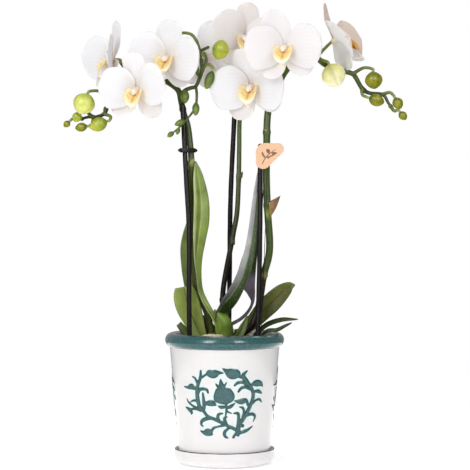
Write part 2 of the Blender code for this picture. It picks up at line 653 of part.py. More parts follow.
# The tag is the outline round three circles: (x, z, radius) about its middle
TAG_CIRCLES = ((-6.2, 5.5, 6.5), (7.2, 6.0, 5.5), (-6.7, -6.0, 6.0))
TAG_MIDDLE = (41.5, -16.2, 284.0)
TAG_THICKNESS = 1.0 * MM


def tag(finish):
    outline = []
    steps = 28
    for k in range(steps):
        turn = 2 * math.pi * k / steps
        way = (math.cos(turn), math.sin(turn))
        x, z, r = max(TAG_CIRCLES, key=lambda c: c[0] * way[0] + c[1] * way[1] + c[2])
        outline.append(metres((x + r * way[0], 0, z + r * way[1])) + metres(TAG_MIDDLE))
    back = [p + Vector((0, TAG_THICKNESS, 0)) for p in outline]
    faces = [tuple(range(steps)), tuple(range(steps, 2 * steps))]
    faces += [(k, (k + 1) % steps, (k + 1) % steps + steps, k + steps) for k in range(steps)]
    return add_object("tag", mesh_of("tag", outline + back, faces), finish)


def main():
    clear_scene()
    glaze = material("white_glaze", (0.86, 0.84, 0.83), 0.2)
    clear_plastic = material("grow_pot_plastic", (0.70, 0.72, 0.70), 0.35)
    bark_brown = material("pine_bark", (0.16, 0.09, 0.05), 0.9)
    leaf_green = material("leaf_green", (0.10, 0.20, 0.03), 0.4)
    stem_green = material("stem_green", (0.09, 0.16, 0.03), 0.45)
    bud_green = material("bud_green", (0.42, 0.52, 0.10), 0.45)
    white_petal = material("white_petal", (0.86, 0.84, 0.86), 0.5)
    lip_yellow = material("lip_yellow", (0.80, 0.55, 0.15), 0.5)
    black_plastic = material("black_plastic", (0.02, 0.018, 0.02), 0.45)
    tag_card = material("tag_card", (0.86, 0.60, 0.44), 0.7)

    saucer(glaze)
    pot(glaze)
    grow_pot(clear_plastic)
    in_bark = {name: (stake_route(name), STAKE_RADIUS) for name in STAKES}
    in_bark["crown"] = ([Vector((*CROWN_PLACE, z)) for z in (CROWN_FOOT, CROWN_TOP)], CROWN_RADIUS)
    bark(bark_brown, in_bark)
    crown(leaf_green)
    for name in STAKES:
        stake(name, black_plastic)
    for name in LEAVES:
        leaf(name, leaf_green)
    for name in SPIKES:
        spike(name, stem_green)
    for name in BUDS:
        bud(name, bud_green)
    for name in FLOWERS:
        sepals(name, white_petal)
        petals(name, white_petal)
        lip(name, lip_yellow)
    clip("clip_left", "stake_left", "spike_left", 289 * MM, black_plastic)
    clip("clip_right", "stake_right", "spike_right", 291 * MM, black_plastic)
    tag(tag_card)


main()
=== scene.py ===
"""Looks for the potted moth orchid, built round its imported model.

Metres, +Z up, and the plant faces -Y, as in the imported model. Tables of places are in
millimetres. Every piece is a surface worked out with numpy, as whole arrays, from a few
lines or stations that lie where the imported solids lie.
"""

import math
from collections import namedtuple

import bpy
import numpy as np
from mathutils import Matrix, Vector


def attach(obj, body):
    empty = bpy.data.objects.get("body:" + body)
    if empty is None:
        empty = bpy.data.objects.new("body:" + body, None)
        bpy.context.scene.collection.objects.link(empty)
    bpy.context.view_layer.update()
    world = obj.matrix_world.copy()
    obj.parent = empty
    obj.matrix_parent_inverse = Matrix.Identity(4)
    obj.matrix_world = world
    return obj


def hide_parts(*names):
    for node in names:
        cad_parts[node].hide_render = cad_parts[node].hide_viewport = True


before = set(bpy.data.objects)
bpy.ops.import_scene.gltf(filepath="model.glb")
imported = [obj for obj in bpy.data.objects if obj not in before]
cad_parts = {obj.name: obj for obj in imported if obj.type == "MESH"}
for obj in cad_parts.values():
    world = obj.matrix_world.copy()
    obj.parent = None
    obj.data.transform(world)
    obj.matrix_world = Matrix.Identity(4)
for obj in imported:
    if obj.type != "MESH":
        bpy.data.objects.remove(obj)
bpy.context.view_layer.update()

MM = 0.001


# ---- Colours, materials and their nodes ----


def srgb(hex_colour):
    """The linear colour of an sRGB hex value, with alpha 1."""
    parts = np.array([int(hex_colour[i : i + 2], 16) for i in (1, 3, 5)]) / 255
    linear = np.where(parts <= 0.04045, parts / 12.92, ((parts + 0.055) / 1.055) ** 2.4)
    return (*linear.tolist(), 1.0)


def shades(stops, places):
    """Linear colours at places between the (place, hex) stops, one row of four for each place."""
    colours = np.array([srgb(colour) for _, colour in stops])
    at = [place for place, _ in stops]
    places = np.asarray(places, float)
    return np.stack([np.interp(places, at, colours[:, i]) for i in range(4)], -1)


def mixed(first, second, share):
    """Two colours, each an array or a hex value, mixed by an array of shares."""
    first, second = (np.array(srgb(part)) if isinstance(part, str) else part for part in (first, second))
    return first + (second - first) * np.asarray(share)[..., None]


def plain(hex_colour):
    """One colour for every point of a surface."""
    return np.array(srgb(hex_colour))[None, None, :]


def lengthwise(stops, rows):
    """Colours that change from the first row of a surface to its last."""
    return shades(stops, np.linspace(0, 1, rows))[:, None]


def new_material(name, **sockets):
    """A material, its nodes, its Principled shader, whose sockets are named with _ for a space,
    and a place on the piece in metres, which the scale of each pattern is measured in."""
    made = bpy.data.materials.new(name)
    made.use_nodes = True
    tree = made.node_tree
    shader = tree.nodes["Principled BSDF"]
    for socket, value in sockets.items():
        shader.inputs[socket.replace("_", " ")].default_value = value
    return made, tree, shader, add(tree, "TexCoord").outputs["Object"]


def add(tree, kind, inputs=None, **settings):
    """Adds a shader node with its settings, and sets or links its inputs: a hex string is a
    colour. In a Mix of colours the inputs 0, 6 and 7 are the share and the two colours."""
    made = tree.nodes.new("ShaderNode" + kind)
    for name, value in settings.items():
        setattr(made, name, value)
    for name, value in (inputs or {}).items():
        if isinstance(value, bpy.types.NodeSocket):
            tree.links.new(value, made.inputs[name])
        elif isinstance(value, str):
            made.inputs[name].default_value = srgb(value)
        else:
            made.inputs[name].default_value = value
    return made


def surfaced(made, tree, shader, colour, height, strength, distance):
    """Gives a material its colour and its relief, whose height is at most distance in metres."""
    tree.links.new(colour, shader.inputs["Base Color"])
    relief = add(tree, "Bump", {"Height": height, "Strength": strength, "Distance": distance}).outputs[0]
    tree.links.new(relief, shader.inputs["Normal"])
    return made


# ---- Surfaces ----


def smooth_rows(rows, per_span):
    """A Catmull-Rom curve through rows of numbers, per_span steps between two of them."""
    p = np.array(rows, float)
    p = np.vstack([2 * p[0] - p[1], p, 2 * p[-1] - p[-2]])
    t = (np.arange(per_span) / per_span)[None, :, None]
    a, b, c, d = (p[i : len(p) - 3 + i, None, :] for i in range(4))
    curve = 2 * b + (c - a) * t + (2 * a - 5 * b + 4 * c - d) * t**2 + (3 * b - a - 3 * c + d) * t**3
    return np.vstack([curve.reshape(-1, p.shape[1]) / 2, p[-2]])


def unit(vectors):
    """Vectors at length 1, each over its own length."""
    return vectors / np.maximum(np.linalg.norm(vectors, axis=-1, keepdims=True), 1e-12)


def quads(index):
    """The four-sided faces of a grid of point numbers, rows by columns."""
    corners = (index[:-1, :-1], index[:-1, 1:], index[1:, 1:], index[1:, :-1])
    return np.stack(corners, -1).reshape(-1, 4)


def shape(points, faces, triangles=(), **values):
    """A bare surface: points in mm, faces, and values or colours at the points."""
    triangles = np.reshape(triangles, (-1, 3)).astype(int)
    return {"points": points, "quads": faces, "triangles": triangles, **values}


def joined(*shapes):
    """Several surfaces as one, with the values that the first one has; a missing one is 0."""
    starts = np.cumsum([0] + [len(s["points"]) for s in shapes])
    whole = {}
    for name in shapes[0]:
        whole[name] = np.concatenate([s.get(name, np.zeros(len(s["points"]))) for s in shapes])
    for name in ("quads", "triangles"):
        whole[name] = np.concatenate([s[name] + start for s, start in zip(shapes, starts)])
    return whole


def on_grid(value, rows, columns):
    """A value at every point of a grid, from one that may hold for whole rows or columns."""
    return np.broadcast_to(value, (rows, columns) + np.shape(value)[2:])


def blade(middle, thickness, **values):
    """A thin closed sheet. The middle surface, rows by columns, is pushed out along its normal
    by half the thickness on each side, and the push falls to nothing at the edges, which the
    two sides share. side is 1 on the front, 0 on the back."""
    along, across = np.gradient(middle, axis=0), np.gradient(middle, axis=1)
    normal = unit(np.cross(across, along))
    rows, columns = middle.shape[:2]
    v, s = np.linspace(-1, 1, rows)[:, None], np.linspace(-1, 1, columns)[None, :]
    push = normal * (thickness / 2 * np.sqrt((1 - v**16) * (1 - s**4)))[..., None]
    inner = (slice(1, -1), slice(1, -1))
    points = np.concatenate([(middle + push).reshape(-1, 3), (middle - push)[inner].reshape(-1, 3)])
    front = np.arange(rows * columns).reshape(rows, columns)
    back = front.copy()
    back[inner] = rows * columns + np.arange((rows - 2) * (columns - 2)).reshape(rows - 2, columns - 2)
    edge = np.ones((rows, columns))
    edge[inner] = 0
    both = {"side": np.concatenate([1 - edge.ravel() / 2, np.zeros((rows - 2) * (columns - 2))])}
    for name, value in values.items():
        value = on_grid(value, rows, columns)
        tail = value.shape[2:]
        both[name] = np.concatenate([value.reshape(-1, *tail), value[inner].reshape(-1, *tail)])
    return shape(points, np.concatenate([quads(front), quads(back)[:, ::-1]]), **both)


def rings(points, **values):
    """A closed surface through rings of points, rows by columns by 3, each ring going round
    and the two ends closed by a fan about the middle of the end ring."""
    rows, columns = points.shape[:2]
    index = np.arange(rows * columns).reshape(rows, columns)
    round_index = np.hstack([index, index[:, :1]])
    first, last = rows * columns, rows * columns + 1
    start, end = round_index[0], round_index[-1]
    fans = [(np.full(columns, first), start[1:], start[:-1]), (np.full(columns, last), end[:-1], end[1:])]
    triangles = np.concatenate([np.stack(fan, -1) for fan in fans])
    ends = np.stack([points[0].mean(0), points[-1].mean(0)])
    closed = {}
    for name, value in values.items():
        value = on_grid(value, rows, columns)
        flat = value.reshape(rows * columns, *value.shape[2:])
        closed[name] = np.concatenate([flat, value[:1, 0], value[-1:, 0]])
    return shape(np.concatenate([points.reshape(-1, 3), ends]), quads(round_index), triangles, **closed)


def turning(axis, angle):
    """Turning matrices about axis 0, 1 or 2: 3 by 3, with a layer for each angle."""
    second, third = (axis + 1) % 3, (axis + 2) % 3
    made = np.zeros((3, 3, *np.shape(angle)))
    made[axis, axis] = 1
    made[second, second] = np.cos(angle)
    made[third, third] = np.cos(angle)
    made[second, third] = -np.sin(angle)
    made[third, second] = np.sin(angle)
    return made


def tube(route, radii, sides=16, **values):
    """A round tube: about each point of the route a ring, square to the route. The radii are
    one for each point, or rows by sides. The rings are turned by the direction that the
    route spreads in least, so that they don't twist."""
    route = np.asarray(route, float)
    ahead = unit(np.gradient(route, axis=0))
    reference = np.linalg.svd(route - route.mean(0))[2][-1]
    side = unit(np.cross(ahead, reference))
    up = np.cross(ahead, side)
    turn = np.linspace(0, 2 * np.pi, sides, endpoint=False)[None, :, None]
    radii = np.reshape(radii, (len(route), -1, 1))
    ring = side[:, None, :] * np.cos(turn) + up[:, None, :] * np.sin(turn)
    return rings(route[:, None, :] + radii * ring, **values)


def rounded_tube(route, radii, sides=16, **values):
    """A tube whose two ends are domes: three more rings at each end, on a quarter circle."""
    route, radii = np.asarray(route, float), np.asarray(radii, float)
    arc = np.radians([2, 30, 60])
    first, last = unit(route[0] - route[1]), unit(route[-1] - route[-2])
    head = route[0] + first * (radii[0] * np.cos(arc))[:, None]
    tail = route[-1] + last * (radii[-1] * np.cos(arc[::-1]))[:, None]
    whole = np.concatenate([radii[0] * np.sin(arc), radii, radii[-1] * np.sin(arc[::-1])])
    spread = {}
    for name, value in values.items():
        grows = np.ndim(value) > 1 and len(value) == len(route)
        spread[name] = np.concatenate([value[:1]] * 3 + [value] + [value[-1:]] * 3) if grows else value
    return tube(np.concatenate([head, route, tail]), whole, sides, **spread)


def put(name, surface, finish, nodes):
    """Makes a surface a smooth mesh piece in place, and lets it stand for its CAD nodes."""
    mesh = bpy.data.meshes.new(name)
    faces = surface["quads"].tolist() + surface["triangles"].tolist()
    mesh.from_pydata((surface["points"] * MM).tolist(), [], faces)
    for value_name, value in surface.items():
        if value_name in ("points", "quads", "triangles"):
            continue
        kind, field = ("FLOAT_COLOR", "color") if value.ndim == 2 else ("FLOAT", "value")
        kept = mesh.attributes.new(value_name, kind, "POINT")
        kept.data.foreach_set(field, np.ascontiguousarray(value, np.float32).ravel())
    mesh.shade_smooth()
    mesh.materials.append(finish)
    piece = bpy.data.objects.new(name, mesh)
    bpy.context.scene.collection.objects.link(piece)
    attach(piece, "root")
    if nodes:
        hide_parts(*nodes)


# ---- Finishes ----


def glaze():
    """Glazed stoneware: a clear glossy coat over white slip with clouds of 22 mm. The teal is a
    coloured glaze, grainy at 2.4 mm, with painted shade darkening it along its edges, and a
    thin blue-green wash lies round it."""
    made, tree, shader, place = new_material(
        "glazed_stoneware", Roughness=0.2, IOR=1.5, Specular_IOR_Level=0.1,
        Coat_Weight=1.0, Coat_Roughness=0.03)
    depth = add(tree, "Attribute", attribute_name="depth").outputs["Fac"]
    wash = add(tree, "Attribute", attribute_name="wash").outputs["Fac"]
    cloud = add(tree, "TexNoise", {"Vector": place, "Scale": 45.0, "Detail": 3.0}).outputs["Fac"]
    grain = add(tree, "TexNoise", {"Vector": place, "Scale": 420.0, "Detail": 2.0}).outputs["Fac"]
    white = add(tree, "Mix", {0: cloud, 6: "#DAD6D6", 7: "#E1DEDF"}, data_type="RGBA").outputs[2]
    washed = add(tree, "Mix", {0: wash, 6: white, 7: "#CDE4E1"}, data_type="RGBA").outputs[2]
    pooled = add(tree, "MapRange", {"Value": grain, "From Min": 0.3, "From Max": 0.7}).outputs[0]
    deep = add(tree, "Mix", {0: pooled, 6: "#174546", 7: "#2B6163"}, data_type="RGBA").outputs[2]
    # Painted shade: the teal darkens to near black along the edges of the strokes and of the bead's band, as
    # shade on the raised relief
    inner = add(tree, "MapRange", {"Value": depth, "From Min": -0.2, "From Max": -1.4}).outputs[0]
    edge_shaded = add(tree, "Mix", {0: inner, 6: "#0E3233", 7: deep}, data_type="RGBA").outputs[2]
    teal = add(tree, "MapRange", {"Value": depth, "From Min": 0.15, "From Max": -0.2}).outputs[0]
    colour = add(tree, "Mix", {0: teal, 6: washed, 7: edge_shaded}, data_type="RGBA").outputs[2]
    return surfaced(made, tree, shader, colour, cloud, 0.12, 0.0006)


def toned(name, noise_scale, share, bump, **sockets):
    """A plant surface: the piece's own colours, mottled by a noise of the given scale."""
    made, tree, shader, place = new_material(name, **sockets)
    tone = add(tree, "Attribute", attribute_name="tone").outputs["Color"]
    mottle = add(tree, "TexNoise", {"Vector": place, "Scale": noise_scale, "Detail": 4.0}).outputs["Fac"]
    limits = {"From Min": 0.3, "From Max": 0.7, "To Min": 1 - share, "To Max": 1 + share}
    light = add(tree, "MapRange", {"Value": mottle, **limits}).outputs[0]
    colour = add(tree, "VectorMath", {0: tone, "Scale": light}, operation="SCALE").outputs[0]
    return surfaced(made, tree, shader, colour, mottle, bump, 0.0004)


def vein_wave(tree, cloud, turns):
    """A wave across a blade, bent a little by a cloud, for its veins: turns is in radians for
    each half of the blade."""
    across = add(tree, "Attribute", attribute_name="across").outputs["Fac"]
    phase = add(tree, "Math", {0: across, 1: turns, 2: cloud}, operation="MULTIPLY_ADD").outputs[0]
    return add(tree, "Math", {0: phase}, operation="SINE").outputs[0]


def leaf_skin():
    """Living leaf: a waxy cuticle with soft gloss over green with clouds of 11 mm. About eleven
    veins run along the blade, 1 to 2 mm apart, which is coarser than the real ones so that
    they show, and paler flecks lie about 2.4 mm apart."""
    made, tree, shader, place = new_material("waxy_leaf", Roughness=0.4, Specular_IOR_Level=0.07)
    tone = add(tree, "Attribute", attribute_name="tone").outputs["Color"]
    cloud = add(tree, "TexNoise", {"Vector": place, "Scale": 90.0, "Detail": 4.0}).outputs["Fac"]
    wave = vein_wave(tree, cloud, 34.0)
    fleck = add(tree, "TexVoronoi", {"Vector": place, "Scale": 420.0}).outputs["Distance"]
    flecks = {"From Min": 0.32, "From Max": 0.12, "To Max": 0.22}
    flecked = add(tree, "MapRange", {"Value": fleck, **flecks}).outputs[0]
    veins = {"From Min": -1.0, "From Max": 1.0, "To Min": 0.92, "To Max": 1.08}
    veined = add(tree, "MapRange", {"Value": wave, **veins}).outputs[0]
    clouds = {"From Min": 0.3, "From Max": 0.7, "To Min": 0.8, "To Max": 1.2}
    mottled = add(tree, "MapRange", {"Value": cloud, **clouds}).outputs[0]
    light = add(tree, "Math", {0: veined, 1: mottled}, operation="MULTIPLY").outputs[0]
    shaded = add(tree, "VectorMath", {0: tone, "Scale": light}, operation="SCALE").outputs[0]
    paler = add(tree, "Mix", {0: flecked, 6: shaded, 7: "#9CAA5C"}, data_type="RGBA").outputs[2]
    return surfaced(made, tree, shader, paler, light, 0.25, 0.0005)


def petal_skin():
    """Living petal: thin white flesh that light comes through, with about eleven faint veins
    that fan out from the claw."""
    made, tree, shader, place = new_material(
        "white_petal_flesh", Roughness=0.55, Specular_IOR_Level=0.08, Subsurface_Weight=0.7,
        Subsurface_Scale=0.0015, Subsurface_Radius=(1.0, 0.85, 0.8))
    tone = add(tree, "Attribute", attribute_name="tone").outputs["Color"]
    cloud = add(tree, "TexNoise", {"Vector": place, "Scale": 120.0, "Detail": 3.0}).outputs["Fac"]
    wave = vein_wave(tree, cloud, 26.0)
    veins = {"From Min": -1.0, "From Max": 1.0, "To Min": 0.985, "To Max": 1.0}
    light = add(tree, "MapRange", {"Value": wave, **veins}).outputs[0]
    colour = add(tree, "VectorMath", {0: tone, "Scale": light}, operation="SCALE").outputs[0]
    return surfaced(made, tree, shader, colour, wave, 0.08, 0.0002)


def moulded_plastic(name, dark, light, roughness, scale):
    """Moulded plastic: an even colour with faint flow clouds and a fine satin texture of 0.6 mm."""
    made, tree, shader, place = new_material(name, Roughness=roughness, Specular_IOR_Level=0.08)
    cloud = add(tree, "TexNoise", {"Vector": place, "Scale": scale, "Detail": 4.0}).outputs["Fac"]
    colour = add(tree, "Mix", {0: cloud, 6: dark, 7: light}, data_type="RGBA").outputs[2]
    grain = add(tree, "TexNoise", {"Vector": place, "Scale": 1800.0}).outputs["Fac"]
    return surfaced(made, tree, shader, colour, grain, 0.2, 0.0002)


def printed_card():
    """Uncoated card: peach stock with paper fibres of 1 mm and a sprig printed in dull brown."""
    made, tree, shader, place = new_material("peach_card", Roughness=0.75, Specular_IOR_Level=0.1)
    depth = add(tree, "Attribute", attribute_name="depth").outputs["Fac"]
    fibre = add(tree, "TexNoise", {"Vector": place, "Scale": 900.0, "Detail": 3.0}).outputs["Fac"]
    stock = add(tree, "Mix", {0: fibre, 6: "#E8B993", 7: "#F0C7A4"}, data_type="RGBA").outputs[2]
    inked = add(tree, "MapRange", {"Value": depth, "From Min": 0.12, "From Max": -0.12}).outputs[0]
    colour = add(tree, "Mix", {0: inked, 6: stock, 7: "#8A5C46"}, data_type="RGBA").outputs[2]
    return surfaced(made, tree, shader, colour, fibre, 0.15, 0.0002)


def studio_floor():
    """A matt white light table: faint paper grain, and lit from below away from the object."""
    made, tree, shader, place = new_material(
        "white_light_table", Roughness=0.9, Emission_Color=srgb("#FFFFFF"))
    grain = add(tree, "TexNoise", {"Vector": place, "Scale": 300.0}).outputs["Fac"]
    colour = add(tree, "Mix", {0: grain, 6: "#F8F8F8", 7: "#FFFFFF"}, data_type="RGBA").outputs[2]
    tree.links.new(colour, shader.inputs["Base Color"])
    away = add(tree, "VectorMath", {0: place}, operation="LENGTH").outputs["Value"]
    limits = {"From Min": 0.06, "From Max": 0.2, "To Min": 0.28, "To Max": 0.55}
    glow = add(tree, "MapRange", {"Value": away, **limits}).outputs[0]
    tree.links.new(glow, shader.inputs["Emission Strength"])
    return made


def clear_plastic():
    """Thin blown plastic: milky with clouds of 14 mm and half clear, so that the bark darkens it."""
    made, tree, shader, place = new_material(
        "thin_milky_plastic", Roughness=0.3, Transmission_Weight=0.55, IOR=1.49)
    cloud = add(tree, "TexNoise", {"Vector": place, "Scale": 70.0, "Detail": 3.0}).outputs["Fac"]
    colour = add(tree, "Mix", {0: cloud, 6: "#DADCD6", 7: "#F2F3EF"}, data_type="RGBA").outputs[2]
    return surfaced(made, tree, shader, colour, cloud, 0.15, 0.0006)


# ---- Pot, saucer and what they hold ----

POT_TURNS = 438  # columns round the pot, a third for each motif
WALL_ROWS = 151
WALL_FOOT, WALL_TOP = 9.5, 108.2
FOOT_RADIUS = 42.2
WALL_FLARE = 8.4 / 98.3  # how far the wall leans out for each millimetre up
MOTIF_RADIUS = 46.4  # radius of the wall where the motif's places are measured
RELIEF = 0.8  # how far the vine stands out
SPREAD = 0.35  # how far its glaze runs past each stroke
GRID_STEP = 0.66  # how far apart the wall's points are
WASH_BLUR = 2.3  # how far the wash runs out round the vine
FAR = 9.0  # a depth well outside every stroke
# Middle and radius of the rounded foot and of the bead, and the corners of the inside, as
# (radius, height)
FOOT_MIDDLE, FOOT_ROUND = (36.7, 9.5), 5.5
BEAD_MIDDLE, BEAD_RADIUS = (48.6, 114.4), 6.4
INSIDE = ((46.1, 117.4), (46.2, 108.0), (38.0, 10.5), (35.5, 9.0), (0.5, 9.0))

# The vine on the wall, drawn three times round it. Each stroke is a row of (place along the
# wall from the motif's middle, height, half width)
VINE = (
    ((13.1, 34.7, 1.3), (5.1, 38.7, 1.3), (-2.7, 42.5, 1.3), (-8.7, 45.3, 1.3), (-15.7, 48.1, 1.2),
     (-19.3, 52.2, 1.3), (-23.4, 56.3, 1.7), (-25, 62.1, 1.9), (-25.5, 70.5, 1.7), (-23.9, 77.2, 1.3),
     (-21.4, 83.2, 1.2), (-20.9, 89.5, 0.6)),
    ((13.2, 31.4, 1.7), (13.5, 39.8, 2), (16.5, 43.9, 1.8), (20.1, 48.8, 1.7), (23.6, 55.4, 1.7),
     (26.5, 62, 1.7), (27, 68.7, 1.6), (23.8, 74.7, 1.3), (19.9, 79.9, 1.7), (16.5, 85, 1.6),
     (19.6, 89, 0.7)),
    ((-20.3, 83.2, 0.8), (-15, 86.7, 0.8), (-12.5, 87.2, 3), (-9.3, 86.8, 3.7), (-5.6, 87.9, 1.7),
     (-1, 87.7, 0.2)),
    ((-1.3, 91.8, 0.3), (2.3, 89.2, 2), (6.7, 86.9, 4.6), (10.3, 86.8, 3.5), (13.2, 84.1, 0.8),
     (17, 82.5, 0.8)),
    ((-5, 71, 2.9), (-6, 65.1, 3.5), (-1.7, 63.5, 4)),
    ((-0.1, 73.5, 1.2), (-0.1, 69.3, 5), (-0.1, 64.3, 5)),
    ((3.6, 71, 2.9), (4.8, 66, 4.2), (1.6, 63.5, 4)),
    ((-3.3, 82, 0.3), (-2.8, 77.7, 1.7), (-1.7, 72.7, 2.9)),
    ((-7.5, 77.8, 0.3), (-5.8, 75.6, 1), (-3.3, 72.7, 1.7)),
    ((1.7, 78.9, 0.3), (-0.1, 76, 1), (-1.3, 72.7, 1.7)),
    ((1.6, 59.3, 0.8), (1.9, 54.2, 0.8), (1.2, 49.2, 0.5)),
    ((-5.5, 57.7, 0.3), (-2.6, 56.5, 1.3), (2, 57.2, 0.7)),
    ((2, 55.9, 0.7), (5.6, 57.1, 1.4), (9.5, 60, 0.3)),
    ((2, 53.4, 0.5), (4.1, 52, 0.5), (6.7, 50.8, 0.2)),
    ((-40.4, 73.8, 0.3), (-35.3, 73.2, 1.2), (-31, 74.4, 2.5), (-26.4, 72.3, 0.7)),
    ((-29.5, 83.6, 0.4), (-26.8, 82.2, 0.8), (-24.9, 78.1, 0.9)),
    ((-24.6, 68.8, 1.2), (-22.6, 72.1, 1.3), (-18.5, 73, 1.1), (-15.7, 72.1, 1.1), (-14.7, 69.6, 0.7)),
    ((-19.7, 69, 0.6), (-19.1, 62.3, 1.3), (-18.9, 56.4, 1.5), (-20.4, 52.6, 1)),
    ((-18.5, 60.2, 0.8), (-14.9, 59.9, 2), (-11.4, 60.2, 2.6), (-7.5, 58.4, 0.3)),
    ((-37.7, 62.7, 0.3), (-36.2, 60.1, 0.7), (-31, 56.8, 0.8), (-23.5, 54.2, 1)),
    ((-33.1, 60.4, 0.3), (-28.7, 61.9, 0.8), (-25.1, 60, 0.8), (-24, 56.2, 0.7)),
    ((-40.1, 54.9, 0.3), (-35.9, 53.1, 1.7), (-32.8, 50.8, 1.3), (-33.5, 49, 0.4)),
    ((-35.8, 53.3, 0.8), (-28, 54, 0.7), (-22.6, 52.8, 0.8)),
    ((-6.6, 44.3, 1), (-12.2, 46.4, 1.3), (-17.7, 45.5, 1.5), (-21.7, 43.3, 1.3), (-22.5, 40.3, 0.9),
     (-20.6, 38.5, 0.3)),
    ((-23.5, 34.2, 0.3), (-19.1, 32.7, 1.8), (-15.3, 33.4, 3.2), (-11.5, 31.4, 0.4)),
    ((-12.5, 34.3, 1), (-10.2, 37.3, 0.9), (-6.2, 38.9, 0.8), (-0.1, 39.9, 0.7)),
    ((-5.1, 43.7, 1.3), (-6.1, 47.5, 1.2), (-4.9, 50.3, 1), (-1.6, 50.9, 0.4)),
    ((2.5, 39.9, 1.2), (0.6, 43.7, 1.2), (0.3, 46.7, 1.1), (2.2, 47.7, 0.4)),
    ((5.5, 38.1, 0.8), (1.6, 35.6, 1.2), (-0.1, 32.4, 1.3), (0.9, 29.7, 1), (3.2, 28.4, 0.4)),
    ((12.7, 33.9, 1.5), (10.3, 31.4, 1.1), (8.6, 28.8, 0.9)),
    ((12.3, 32.1, 1.1), (17.3, 33.6, 1.5), (22.1, 34.9, 1.2), (27.8, 38.2, 0.3)),
    ((13.9, 39.8, 1), (17.6, 39.2, 1.3)),
    ((24.6, 73, 1), (25.9, 77, 1.3), (30.5, 77.6, 2.9), (34.6, 76.8, 2), (37.6, 74.4, 0.4)),
    ((27.3, 67.4, 0.5), (29.2, 70.1, 1), (32.9, 70, 1.5), (36.5, 68.1, 0.6)),
    ((27.5, 59.3, 0.7), (30, 61.7, 0.8), (34.6, 62.5, 0.9), (37.2, 60, 0.5)),
    ((20, 77.2, 1.2), (15.9, 79.3, 1.3), (11.7, 78.6, 1.1), (9.1, 76.4, 0.7)),
    ((24.2, 72.2, 1), (18.6, 74.7, 1.2), (14.9, 73.5, 1.1), (12.7, 70.7, 0.8)),
    ((9.3, 62.4, 0.3), (12.9, 61.6, 1.7), (16.4, 61.7, 2.5), (20, 62.4, 1.3), (22.3, 58, 1.1)),
    ((14.2, 56.6, 0.4), (17.1, 55.5, 0.9), (18.3, 51.8, 0.9), (17.1, 47.2, 0.8)),
    ((21.5, 48.6, 1), (26.7, 49.6, 1.2), (30.4, 47.1, 1), (28.6, 42.7, 0.3)),
    ((8.7, 50.8, 0.4), (11.9, 51, 1.1), (13.3, 48.2, 1.2), (13, 40.6, 1.3)),
)


def stroke_distance(strokes, x, z, extra=0.0):
    """How far each place is from the nearest brush stroke, below 0 inside one. A stroke is a
    smooth line whose half width changes along it, and extra is added all round."""
    nearest = np.full(x.shape, FAR)
    for stroke in strokes:
        line = smooth_rows(stroke, 4)
        start, step = line[:-1], np.diff(line, axis=0)
        from_x, from_z = x[..., None] - start[:, 0], z[..., None] - start[:, 1]
        share = (from_x * step[:, 0] + from_z * step[:, 1]) / (step[:, 0] ** 2 + step[:, 1] ** 2)
        share = np.clip(share, 0, 1)
        away = np.hypot(from_x - step[:, 0] * share, from_z - step[:, 1] * share)
        nearest = np.minimum(nearest, (away - start[:, 2] - step[:, 2] * share).min(-1) - extra)
    return nearest


def smooth_step(value, low, high):
    """0 below low and 1 above high, and between them the cubic that is level at both ends."""
    share = np.clip((value - low) / (high - low), 0, 1)
    return share * share * (3 - 2 * share)


def arc(centre, radius, start, end, steps):
    """Points of an arc in a (radius, height) profile, from one angle to another in degrees."""
    turn = np.radians(np.linspace(start, end, steps))
    return np.stack([centre[0] + radius * np.cos(turn), centre[1] + radius * np.sin(turn)], -1)


def line(points, steps):
    """Evenly stepped points along straight lines between corners."""
    points = np.array(points, float)
    share = np.linspace(0, len(points) - 1, steps * (len(points) - 1) + 1)
    return np.stack([np.interp(share, range(len(points)), points[:, i]) for i in (0, 1)], -1)


def turned(profile, turns, bulge=0.0, **values):
    """A profile of (radius, height), run from the foot's middle up the outside and down the
    inside to the floor's middle, turned about Z. bulge adds to the radius."""
    angle = np.linspace(0, 2 * np.pi, turns, endpoint=False)[None, :] - np.radians(150)
    radius = profile[:, :1] + bulge
    height = np.broadcast_to(profile[:, 1:], (len(profile), turns))
    return rings(np.stack([radius * np.cos(angle), radius * np.sin(angle), height], -1), **values)


def band_depth(profile, first, last):
    """How deep each row lies in the band between two rows, measured along the profile."""
    run = np.concatenate([[0], np.cumsum(np.hypot(*np.diff(profile, axis=0).T))])
    return np.maximum(run[first] - run, run - run[last])[:, None]


def pot():
    """The pot: a straight cone of a wall with the vine raised on it, under a rolled bead. The
    wash of thin glaze is the vine's own coverage, blurred round the wall."""
    heights = np.linspace(WALL_FOOT, WALL_TOP, WALL_ROWS)
    sole = line([(0.5, 4.0), (36.7, 4.0)], 3)[:-1]
    foot = np.concatenate([sole, arc(FOOT_MIDDLE, FOOT_ROUND, -90, -8, 7)])
    wall = np.stack([FOOT_RADIUS + WALL_FLARE * (heights - WALL_FOOT), heights], -1)
    bead = arc(BEAD_MIDDLE, BEAD_RADIUS, -72, 122, 24)
    profile = np.concatenate([foot, wall, bead, line(INSIDE, 3)])
    third = np.radians(np.linspace(-60, 60, POT_TURNS // 3, endpoint=False)) * MOTIF_RADIUS
    vine = np.tile(stroke_distance(VINE, *np.meshgrid(third, heights), SPREAD), 3)
    waves = np.hypot(np.fft.fftfreq(WALL_ROWS)[:, None], np.fft.fftfreq(POT_TURNS)[None, :]) / GRID_STEP
    blurred = np.real(np.fft.ifft2(np.fft.fft2(vine < 0) * np.exp(-2 * (np.pi * waves * WASH_BLUR) ** 2)))
    rows = (len(profile), POT_TURNS)
    depth, wash, raised = np.full(rows, FAR), np.zeros(rows), np.zeros(rows)
    top = len(foot) + WALL_ROWS
    wall_rows = slice(len(foot), top)
    depth[wall_rows] = vine
    wash[wall_rows] = smooth_step(blurred, 0.1, 0.5)
    raised[wall_rows] = RELIEF * smooth_step(-vine, -0.15, 1.0)
    depth = np.minimum(depth, band_depth(profile, top, top + len(bead) - 2))
    return turned(profile, POT_TURNS, raised, depth=depth, wash=wash)


